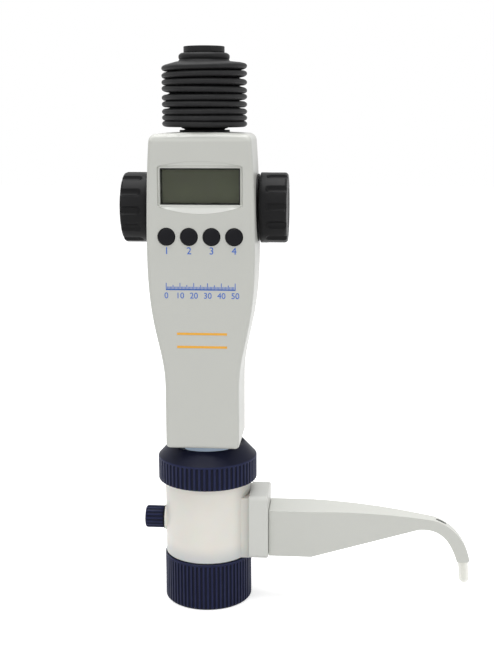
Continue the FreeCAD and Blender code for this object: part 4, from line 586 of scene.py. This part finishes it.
def bottle_ring():
    """Ribbed ring: eased foot, ribbed side, groove under the rim, mouth, thread relief and plain bore."""
    crest = RING_R
    high = RING_HEIGHT - RIM_PLAIN
    rule = ribbed(crest, RIB_DEPTH, RING_RIBS, -2.0, high - 0.8)
    levels = [(0.05, RING_BORE_R + 0.6), (0.0, RING_BORE_R + 1.2), (0.0, crest - 1.3), (0.15, crest - 1.0),
              (1.1, crest - 0.1), (1.5, crest), (10, crest), (20, crest)]
    levels += [(high - 1.4, crest), (high - 0.8, crest), (high - 0.4, crest), (high, crest),
               (high + 0.15, crest - 0.2), (high + 0.35, crest - 0.2), (high + 0.5, crest - 0.05)]
    top = RING_HEIGHT
    levels += [(top - 0.4, crest - 0.05), (top, crest - 0.5), (top, RING_MOUTH_R + 0.1),
               (top - RING_ROOF + 0.1, RING_MOUTH_R), (top - RING_ROOF, RING_RELIEF_R),
               (RING_BORE_DEPTH, RING_RELIEF_R), (RING_BORE_DEPTH, RING_BORE_R), (0.5, RING_BORE_R)]
    form = stacked(levels, RING_RIBS * RIB_POINTS, rule)
    finish = FINISHES["navy_plastic"]
    piece("ribbed_bottle_ring", form, "bottle_ring", finish, ["bottle_ring"])


def union_nut():
    """Ribbed nut under a plain cone, with a throat over a wider bore."""
    rule = ribbed(NUT_R, RIB_DEPTH, NUT_RIBS, NUT_BOTTOM - 2, NUT_SHOULDER - 1.3)
    shoulder = NUT_SHOULDER
    slope = (NUT_TOP - shoulder) / (NUT_R - NUT_TOP_R)
    levels = [(NUT_BOTTOM, NUT_BORE_R + 0.5), (NUT_BOTTOM, NUT_R - 0.6), (NUT_BOTTOM + 0.2, NUT_R - 0.15),
              (NUT_BOTTOM + 0.5, NUT_R), (84, NUT_R), (89, NUT_R)]
    levels += [(shoulder - 1.8 + 0.3 * step, NUT_R) for step in range(6)]
    levels += [(shoulder - 0.1, NUT_R - 0.02), (shoulder + 0.25, NUT_R - 0.2),
               (shoulder + 0.7, NUT_R - 0.7 / slope - 0.05), (shoulder + 4, NUT_R - 4 / slope),
               (NUT_TOP - 0.4, NUT_TOP_R + 0.4 / slope), (NUT_TOP - 0.08, NUT_TOP_R + 0.02),
               (NUT_TOP, NUT_TOP_R - 0.3), (NUT_TOP, NUT_TOP_R - 0.9), (NUT_TOP - 0.25, NUT_TOP_R - 1.3),
               (NUT_TOP - 3.2, NUT_THROAT_R), (NUT_LEDGE, NUT_THROAT_R), (NUT_LEDGE, NUT_BORE_R),
               (NUT_BOTTOM + 0.5, NUT_BORE_R)]
    form = stacked(levels, NUT_RIBS * RIB_POINTS, rule)
    piece("ribbed_union_nut", form, "union_nut", NUT_FINISH, ["union_nut"])


def laid_along_x(form, place, direction):
    """Turns a form drawn along Z so that it points along X in the given direction."""
    turn = Matrix.Rotation(math.radians(90 * direction), 4, "Y")
    bmesh.ops.transform(form, matrix=Matrix.Translation(Vector(place) * MM) @ turn, verts=form.verts)
    return form


def priming_knob():
    """Ribbed knob with a rounded end, a shallow dimple in it and a bore for the spindle."""
    end = KNOB_LENGTH
    rule = ribbed(KNOB_R, KNOB_RIB_DEPTH, KNOB_RIBS, -1.0, end - 1.4)
    levels = [(0, KNOB_BORE_R + 0.1), (0, KNOB_R - 0.6), (0.25, KNOB_R - 0.15), (0.6, KNOB_R), (4, KNOB_R),
              (8, KNOB_R), (end - 1.8, KNOB_R), (end - 1.3, KNOB_R), (end - 0.8, KNOB_R - 0.12),
              (end - 0.4, KNOB_R - 0.38), (end - 0.1, KNOB_R - 0.8), (end, KNOB_R - 1.4),
              (end, KNOB_BORE_R + 0.3), (end - 0.35, KNOB_BORE_R), (end - 0.35, 0.3), (end - 4, 0.3),
              (end - 4, KNOB_BORE_R)]
    form = laid_along_x(stacked(levels, KNOB_RIBS * KNOB_RIB_POINTS, rule), KNOB_FOOT, -1)
    piece("ribbed_priming_knob", form, "priming_valve", KNOB_FINISH, ["valve_knob"])


def fluted(phase):
    """Rule for a hand wheel: round flutes with ball-shaped inner ends, eased into the rim."""
    step = 2 * math.pi / FLUTES
    reach = WHEEL_R - FLUTE_DEPTH + FLUTE_R
    start = WHEEL_BAND + FLUTE_R

    def radius_at(angle, height, radius):
        offset = (angle - math.radians(phase) + step / 2) % step - step / 2
        ball = max(0.0, start - height)
        sideways = reach * math.sin(offset)
        room = FLUTE_R ** 2 - ball ** 2 - sideways ** 2
        if room <= 0:
            return radius
        wall = reach * math.cos(offset) - math.sqrt(room)
        ease = max(FLUTE_EASE - abs(wall - radius), 0) / FLUTE_EASE
        return min(wall, radius) - ease * ease * FLUTE_EASE / 4
    return radius_at


def hand_wheel(side, direction, phase):
    """Fluted wheel with a rounded rim, and the cap sunk in its end."""
    width = WHEEL_WIDTH
    rim = WHEEL_RIM_R
    levels = [(0, WHEEL_R - 0.6), (0.15, WHEEL_R - 0.2), (0.5, WHEEL_R), (2.5, WHEEL_R)]
    levels += [(WHEEL_BAND + share * FLUTE_R, WHEEL_R) for share in (0, 0.04, 0.14, 0.3, 0.5, 0.75, 1)]
    levels += [(10, WHEEL_R), (width - rim, WHEEL_R)]
    for step in range(1, 7):
        turn = math.radians(15 * step)
        levels.append((width - rim + rim * math.sin(turn), WHEEL_R - rim + rim * math.cos(turn)))
    seat = width - WHEEL_CAP_DEPTH
    levels += [(width, 18.0), (width, 13.2), (width - 0.15, WHEEL_CAP_R + 0.25),
               (width - 0.4, WHEEL_CAP_R + 0.1), (seat, WHEEL_CAP_R + 0.1), (seat, WHEEL_BORE_R),
               (0, WHEEL_BORE_R)]
    foot = (direction * (WHEEL_OUTER - width), SHAFT_Y, SHAFT_Z)
    form = laid_along_x(stacked(levels, FLUTES * FLUTE_POINTS, fluted(phase)), foot, direction)
    black = FINISHES["black_plastic"]
    piece("fluted_wheel_" + side, form, "hand_drive", black, ["hand_wheel_" + side])
    low = seat + 0.02
    outline = [(0, low), (WHEEL_CAP_R, low), (WHEEL_CAP_R, width - 0.35), (6, width - 0.08), (0, width)]
    cap = laid_along_x(softened(turned(outline), 0.25), foot, direction)
    piece("wheel_end_cap_" + side, cap, "hand_drive", black, ["wheel_cap_" + side])


def bellows_outline():
    """Section of the bellows, as (radius, height) points up its outside and down its inside."""
    foot = HOUSING_TOP + 1.0
    neck_top = FIRST_LIP_Z - LIP_HALF - 0.5
    outside = [(NECK_R - 0.9, foot), (NECK_R - 0.6, HOUSING_TOP + 1.6), (NECK_R + 0.9, neck_top - 0.9),
               (NECK_R + 1.4, neck_top + 0.1)]
    inside = [(NECK_R - 1.8, foot), (NECK_R - 1.8, neck_top)]
    edge = [(3.2, LIP_HALF), (1.7, LIP_HALF - 0.15), (0.8, LIP_HALF - 0.55), (0.2, LIP_HALF - 1.15), (0, 0)]
    for lip in range(LIPS):
        middle = FIRST_LIP_Z + lip * LIP_PITCH
        outside.append((VALLEY_R, middle - LIP_PITCH / 2))
        outside += [(LIP_R - inset, middle - rise) for inset, rise in edge]
        outside += [(LIP_R - inset, middle + rise) for inset, rise in edge[-2::-1]]
        inner = VALLEY_R - RUBBER_WALL
        inside += [(inner, middle - 0.5), (LIP_R - 2.4, middle), (inner, middle + 0.5)]
    outside.pop()
    top = FIRST_LIP_Z + (LIPS - 1) * LIP_PITCH + LIP_HALF
    outside += [(LIP_R - 3.2, top + 0.3), (LIP_R - 5.4, top + 0.65), (ROLL_R + 2.0, top + 1.15),
                (ROLL_R + 0.9, ROLL_BOTTOM - 0.4), (ROLL_R + 0.3, ROLL_BOTTOM + 0.5),
                (ROLL_R - 0.1, ROLL_BOTTOM + 1.0), (ROLL_R + 0.25, ROLL_BOTTOM + 1.7),
                (ROLL_R + 0.4, ROLL_BOTTOM + 2.6), (ROLL_R + 0.25, ROLL_TOP - 1.5),
                (ROLL_R - 0.3, ROLL_TOP - 0.8), (ROLL_R - 1.1, ROLL_TOP - 0.3),
                (ROLL_R - 2.0, ROLL_TOP - 0.1)]
    inside += [(ROLL_R - 3.2, ROLL_BOTTOM), (ROLL_R - 3.2, ROLL_TOP - 0.1)]
    return outside + inside[::-1]


def opened_share(radius, height):
    """Share of the rod's lift that a point of the bellows takes: flanks open, lips keep their thickness."""
    start = FIRST_LIP_Z - LIP_PITCH / 2
    turns = (height - start) / LIP_PITCH
    if turns <= 0:
        return 0.0
    if turns >= LIPS:
        return 1.0
    lip = math.floor(turns)
    firm = eased_step((radius - VALLEY_R) / (LIP_R - VALLEY_R))
    return (lip + 0.5 + (turns - lip - 0.5) * (1 - firm)) / LIPS


def bellows():
    """Folded rubber between the housing and the rod's cap; each point keeps, in an opening layer, the share
    of the rod's lift that it would take.
    """
    form = turned(bellows_outline(), 120)
    share = form.verts.layers.float.new("opening")
    start = FIRST_LIP_Z - LIP_PITCH / 2
    shoulder = ROLL_R + 0.6
    for vert in form.verts:
        radius = math.hypot(vert.co.x, vert.co.y) / MM
        height = vert.co.z / MM
        vert[share] = opened_share(radius, height)
        lip = math.floor((height - start) / LIP_PITCH)
        angle = math.atan2(vert.co.y, vert.co.x)
        if 0 <= lip < LIPS:
            outward = eased_step((radius - HINGE_R) / (LIP_R - HINGE_R))
            wave = LIP_WAVE * math.sin(2 * angle + LIP_WAVE_TURN * lip)
            vert.co.z += (LIP_RISES[lip] + (wave + LIP_TILTS[lip] * math.cos(angle)) * outward) * MM
        elif lip >= LIPS and radius > shoulder:
            outward = eased_step((radius - shoulder) / (LIP_R - shoulder))
            vert.co.z += (LIP_RISES[-1] + LIP_TILTS[-1] * math.cos(angle)) * outward * MM
    rubber_finish = FINISHES["black_rubber"]
    made = piece("folded_bellows", form, "burette_body", rubber_finish, ["bellows"], sharp=50)
    # The piece lets go of its body, and its place is baked into its mesh
    made.parent = None
    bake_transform(made)


def bellows_cap():
    low, high = ROLL_TOP, CAP_TOP
    outline = [(0, low - 3), (11.4, low - 3), (11.4, low), (CAP_R, low), (CAP_R, high), (CAP_R - 2.6, high),
               (CAP_R - 3.4, high - 0.5), (0, high - 0.5)]
    form = softened(turned(outline), 0.7, 4)
    piece("bellows_end_cap", form, "piston_rack", FINISHES["black_rubber"], ["bellows_cap"])


def facing_front(x, y, z):
    """Place in millimetres where a form drawn flat stands up to face the front."""
    return Matrix.Translation(Vector((x, y, z)) * MM) @ Matrix.Rotation(math.radians(90), 4, "X")


def buttons():
    """Four round buttons, each domed a little at its tip."""
    back, tip = -BUTTON_BACK_Y, -BUTTON_TIP_Y
    outline = [(0, back), (BUTTON_R, back), (BUTTON_R, tip - 1.1), (BUTTON_R - 0.15, tip - 0.85),
               (4.3, tip - 0.45), (3.2, tip - 0.2), (1.7, tip - 0.05), (0, tip)]
    for name, x in zip(BUTTON_NAMES, BUTTON_XS):
        form = turned(outline, 48)
        bmesh.ops.transform(form, matrix=facing_front(x, 0, BUTTON_Z), verts=form.verts)
        piece("domed_" + name, form, name, BUTTON_FINISH, [name])


def front_loop(half, high, low, high_bow, low_bow, depth):
    """Points round an outline on the front, whose top and bottom may bow outwards, at a depth behind it."""
    steps = [step / LOOP_STEPS for step in range(-LOOP_STEPS, LOOP_STEPS + 1)]
    top = [(half * step, high + high_bow * (1 - step * step)) for step in steps]
    bottom = [(half * step, low - low_bow * (1 - step * step)) for step in reversed(steps)]
    return [(x, HOUSING_FRONT + depth, z) for x, z in top + bottom]


def pocket_loop(inset, depth):
    """Loop along the display pocket's bowed outline, moved inwards."""
    return front_loop(POCKET_HALF - inset, POCKET_HIGH - inset, POCKET_LOW + inset,
                      POCKET_HIGH_BOW, POCKET_LOW_BOW, depth)


def window_loop(outset, depth):
    """Loop along the window's straight edges, moved outwards."""
    rise = DISPLAY_HALF_HEIGHT + outset
    return front_loop(DISPLAY_HALF + outset, DISPLAY_Z + rise, DISPLAY_Z - rise, 0, 0, depth)


def looped(loops):
    """Form drawn through closed loops of points that all have the same count, and back to the first."""
    form = bmesh.new()
    rings = []
    for loop in loops:
        ring = [form.verts.new(Vector(point) * MM) for point in loop]
        rings.append([form.edges.new(pair) for pair in zip(ring, ring[1:] + ring[:1])])
    for near, far in zip(rings, rings[1:] + rings[:1]):
        bmesh.ops.bridge_loops(form, edges=near + far)
    return recalculated(form)


def display_bezel():
    """Sloped surround between the pocket's bowed edge and the raised rim of the window."""
    loops = [pocket_loop(0.05, 0.04), window_loop(1.3, 1.15), window_loop(0.9, 0.85), window_loop(0.35, 0.8),
             window_loop(0.1, 1.1), window_loop(0.1, 2.2), window_loop(0.6, 2.2), pocket_loop(0.3, 1.6)]
    piece("display_bezel", looped(loops), "burette_body", BEZEL_FINISH, sharp=50)


def printed_text(name, words, x, z, size, ink):
    """Flat print on the housing's front, centred on a place."""
    letters = bpy.data.curves.new(name, "FONT")
    letters.body = words
    letters.size = size * MM
    letters.extrude = INK_HALF * MM
    letters.align_x = "CENTER"
    letters.align_y = "CENTER"
    holder = bpy.data.objects.new(name, letters)
    bpy.context.scene.collection.objects.link(holder)
    form = bmesh.new()
    form.from_mesh(holder.to_mesh())
    bpy.data.objects.remove(holder)
    bmesh.ops.transform(form, matrix=facing_front(x, HOUSING_FRONT - INK_HALF, z), verts=form.verts)
    bmesh.ops.remove_doubles(form, verts=form.verts, dist=GLYPH_MERGE * MM)
    piece(name, recalculated(form), "burette_body", ink)


def printed_bar(form, x, z, half, half_height):
    """Adds a flat bar of ink to a form."""
    block = bmesh.ops.create_cube(form, size=2.0)["verts"]
    scale = Matrix.Diagonal((half * MM, INK_HALF * MM, half_height * MM, 1))
    place = Matrix.Translation(Vector((x, HOUSING_FRONT - INK_HALF, z)) * MM)
    bmesh.ops.transform(form, matrix=place @ scale, verts=block)


def prints():
    """Plain numbers under the buttons, a plain scale and two orange lines."""
    for number, x in enumerate(BUTTON_XS, 1):
        printed_text("button_number_%d" % number, str(number), x, NUMBER_Z, NUMBER_SIZE, BLUE_INK)
    places = [(mark - SCALE_END / 2) * SCALE_PITCH for mark in range(SCALE_END + 1)]
    scale = bmesh.new()
    for mark, x in enumerate(places):
        length = TEN_MARK if mark % 10 == 0 else FIVE_MARK if mark % 5 == 0 else ONE_MARK
        printed_bar(scale, x, SCALE_Z + length / 2, MARK_HALF, length / 2)
    printed_bar(scale, 0, SCALE_Z, places[-1] + MARK_HALF, SCALE_BAR_HALF)
    piece("printed_scale", scale, "burette_body", BLUE_INK)
    for mark in range(0, SCALE_END + 1, 10):
        printed_text("scale_number_%d" % mark, str(mark), places[mark], SCALE_Z - SCALE_NUMBER_DROP,
                     SCALE_NUMBER_SIZE, BLUE_INK)
    lines = bmesh.new()
    for z in LINE_Z:
        printed_bar(lines, LINE_X, z, LINE_HALF, LINE_HALF_HEIGHT)
    piece("printed_lines", lines, "burette_body", ORANGE_INK)


def display():
    """Flat glass of the display, behind the window."""
    form = bmesh.new()
    bmesh.ops.create_grid(form, x_segments=8, y_segments=4, size=1.0)
    scale = Matrix.Diagonal((DISPLAY_HALF * MM, DISPLAY_HALF_HEIGHT * MM, 1, 1))
    bmesh.ops.transform(form, matrix=facing_front(0, DISPLAY_GLASS_Y, DISPLAY_Z) @ scale, verts=form.verts)
    bmesh.ops.solidify(form, geom=form.faces[:], thickness=DISPLAY_GLASS_DEPTH * MM)
    piece("display_glass", recalculated(form), "burette_body", GLASS_FINISH)


def hook_slot():
    """Dark sheet laid on the arm's own surface along the outer top of the hook, painted as the shade in a
    narrow slot.
    """
    shell = frame["nodes"]["arm_shell"].data
    corners = [vert.co for vert in shell.vertices]
    arm = BVHTree.FromPolygons(corners, [list(face.vertices) for face in shell.polygons])
    form = bmesh.new()
    rows = []
    for step in range(SLOT_STEPS + 1):
        along = SLOT_START + (SLOT_END - SLOT_START) * step / SLOT_STEPS
        turn = SLOT_BLUNT + (1 - 2 * SLOT_BLUNT) * step / SLOT_STEPS
        half = SLOT_HALF * math.sin(math.pi * turn) ** 0.5
        row = []
        for across in (-half, half):
            above = Vector((along, across, 100)) * MM
            place, normal, _, _ = arm.ray_cast(above, Vector((0, 0, -1)))
            row.append(form.verts.new(place + normal * SLOT_LIFT * MM))
        rows.append(row)
    for near, far in zip(rows, rows[1:]):
        form.faces.new((near[0], far[0], far[1], near[1]))
    form.normal_update()
    bmesh.ops.solidify(form, geom=form.faces[:], thickness=SLOT_DEPTH * MM)
    # A black sheet stands in for the shade inside the slot
    piece("hook_slot", recalculated(form), "burette_body", FINISHES["black_plastic"])


def arched_brow(form):
    """Rolls the housing's front back under its top edge, along a line that arches over the middle."""
    start = HOUSING_TOP - BROW_SIDE
    for step in range(BROW_CUTS):
        level = Vector((0, 0, start + BROW_CUT_PITCH * step)) * MM
        near = [vert for vert in form.verts if vert.co.z > (start - BROW_CUT_REACH) * MM]
        edges = [edge for edge in form.edges if edge.verts[0] in near or edge.verts[1] in near]
        faces = {face for edge in edges for face in edge.link_faces}
        bmesh.ops.bisect_plane(form, geom=near + edges + list(faces), plane_co=level, plane_no=(0, 0, 1),
                               dist=1e-6)
    for vert in form.verts:
        x, y, z = vert.co / MM
        low = HOUSING_TOP - BROW_MIDDLE - (BROW_SIDE - BROW_MIDDLE) * min(1, abs(x) / DISPLAY_HALF) ** 2
        rise = min(1, max(0, (z - low) / (HOUSING_TOP - low)))
        front = min(1, max(0, (BROW_BACK - y) / (BROW_BACK - HOUSING_FRONT)))
        vert.co.y += BROW_DEPTH * rise ** BROW_ROLL * front * MM


def eased_copies():
    """Visible moulded parts as their own smooth forms with eased edges."""
    bodies = frame["record"]["behaviour"]["bodies"]
    slots = {part["node"]: part["material_slot"] for part in frame["record"]["subparts"]}
    for node, width in EASED_NODES.items():
        form = bmesh.new()
        form.from_mesh(frame["nodes"][node].data)
        bmesh.ops.remove_doubles(form, verts=form.verts, dist=2e-6)
        bmesh.ops.dissolve_limit(form, angle_limit=math.radians(FLAT_ANGLE), verts=form.verts,
                                 edges=form.edges)
        if node == "front_shell":
            arched_brow(form)
        body = next(name for name, members in bodies.items() if node in members)
        slot = slots[node]
        made = piece("eased_" + node, form, body, FINISHES[slot], [node], sharp=SHARP_ANGLE)
        if width:
            bevel = made.modifiers.new("eased_edges", "BEVEL")
            bevel.width = width * MM
            bevel.segments = EASED_SEGMENTS
            bevel.limit_method = "ANGLE"
            bevel.angle_limit = math.radians(EASED_ANGLE)
            bevel.harden_normals = True
        made.modifiers.new("flat_faces", "WEIGHTED_NORMAL").keep_sharp = True


def other_nodes():
    """Every remaining node takes its slot's finish."""
    for part in frame["record"]["subparts"]:
        finish = WINDOW_FINISH if part["node"] == "display_window" else FINISHES[part["material_slot"]]
        data = frame["nodes"][part["node"]].data
        data.materials.clear()
        data.materials.append(finish.material)


def floor():
    """White floor just under the ring, which takes soft shadows and fades into the white behind."""
    form = bmesh.new()
    place = Matrix.Translation((0, 0, FLOOR_Z * MM))
    bmesh.ops.create_grid(form, x_segments=1, y_segments=1, size=FLOOR_HALF * MM, matrix=place)
    mesh = bpy.data.meshes.new("studio_floor")
    form.to_mesh(mesh)
    form.free()
    made = bpy.data.objects.new("studio_floor", mesh)
    bpy.context.scene.collection.objects.link(made)
    paper = Finish("white_paper", (0.8, 0.8, 0.8, 1.0), 0.95, Specular_IOR_Level=0.0, Emission_Strength=1.0)
    distance = (paper.along("X") ** 2 + paper.along("Y") ** 2) ** 0.5
    far = paper.ramp(distance, FLOOR_LIFT_START * MM, FLOOR_LIFT_END * MM)
    lift = far * (FLOOR_LIFT_FAR - FLOOR_LIFT_NEAR) + FLOOR_LIFT_NEAR
    paper.feed("Emission Color", paper.blend((0, 0, 0, 1), (1, 1, 1, 1), lift * paper.seen()))
    mesh.materials.append(paper.material)


def surroundings():
    """Even pale light from everywhere, seen as plain white."""
    world = bpy.data.worlds.new("studio")
    world.use_nodes = True
    bpy.context.scene.world = world
    around = Nodes(world.node_tree)
    background = world.node_tree.nodes["Background"]
    around.join(background.inputs["Color"], (1.0, 1.0, 1.0, 1.0))
    around.join(background.inputs["Strength"], around.seen() * (1 - AMBIENT) + AMBIENT)


def soft_lamp(name, place, aim, size, power):
    lamp = bpy.data.lights.new(name, "AREA")
    lamp.size = size
    lamp.energy = power
    made = bpy.data.objects.new(name, lamp)
    made.location = place
    made.rotation_euler = (Vector(aim) - Vector(place)).to_track_quat("-Z", "Y").to_euler()
    bpy.context.scene.collection.objects.link(made)


def camera():
    """Camera at the photograph's angle and distance."""
    yaw, pitch, roll = (math.radians(angle) for angle in (CAMERA_YAW, CAMERA_PITCH, CAMERA_ROLL))
    forward = Vector((-math.sin(yaw) * math.cos(pitch), math.cos(yaw) * math.cos(pitch), -math.sin(pitch)))
    level_right = Vector((math.cos(yaw), math.sin(yaw), 0))
    level_up = level_right.cross(forward)
    right = level_right * math.cos(roll) + level_up * math.sin(roll)
    up = level_up * math.cos(roll) - level_right * math.sin(roll)
    lens = bpy.data.cameras.new("front_camera")
    lens.lens = CAMERA_LENS
    made = bpy.data.objects.new("front_camera", lens)
    turn = Matrix((right, up, -forward)).transposed().to_4x4()
    made.matrix_world = Matrix.Translation(Vector(CAMERA_PLACE) * MM) @ turn
    bpy.context.scene.collection.objects.link(made)
    bpy.context.scene.camera = made


other_nodes()
eased_copies()
bottle_ring()
union_nut()
priming_knob()
hand_wheel("right", 1, RIGHT_PHASE)
hand_wheel("left", -1, LEFT_PHASE)
bellows()
bellows_cap()
buttons()
display()
display_bezel()
prints()
hook_slot()
floor()
surroundings()
soft_lamp("top_lamp", (-0.1, 0.0, 1.6), (0.02, 0, 0.2), 1.2, 23)
soft_lamp("front_lamp", (-0.7, -1.5, 0.9), (0.02, 0, 0.18), 1.2, 5.6)
soft_lamp("side_lamp", (1.2, -0.6, 0.7), (0.02, 0, 0.15), 0.9, 4)
camera()
bpy.context.scene.view_settings.view_transform = "Standard"
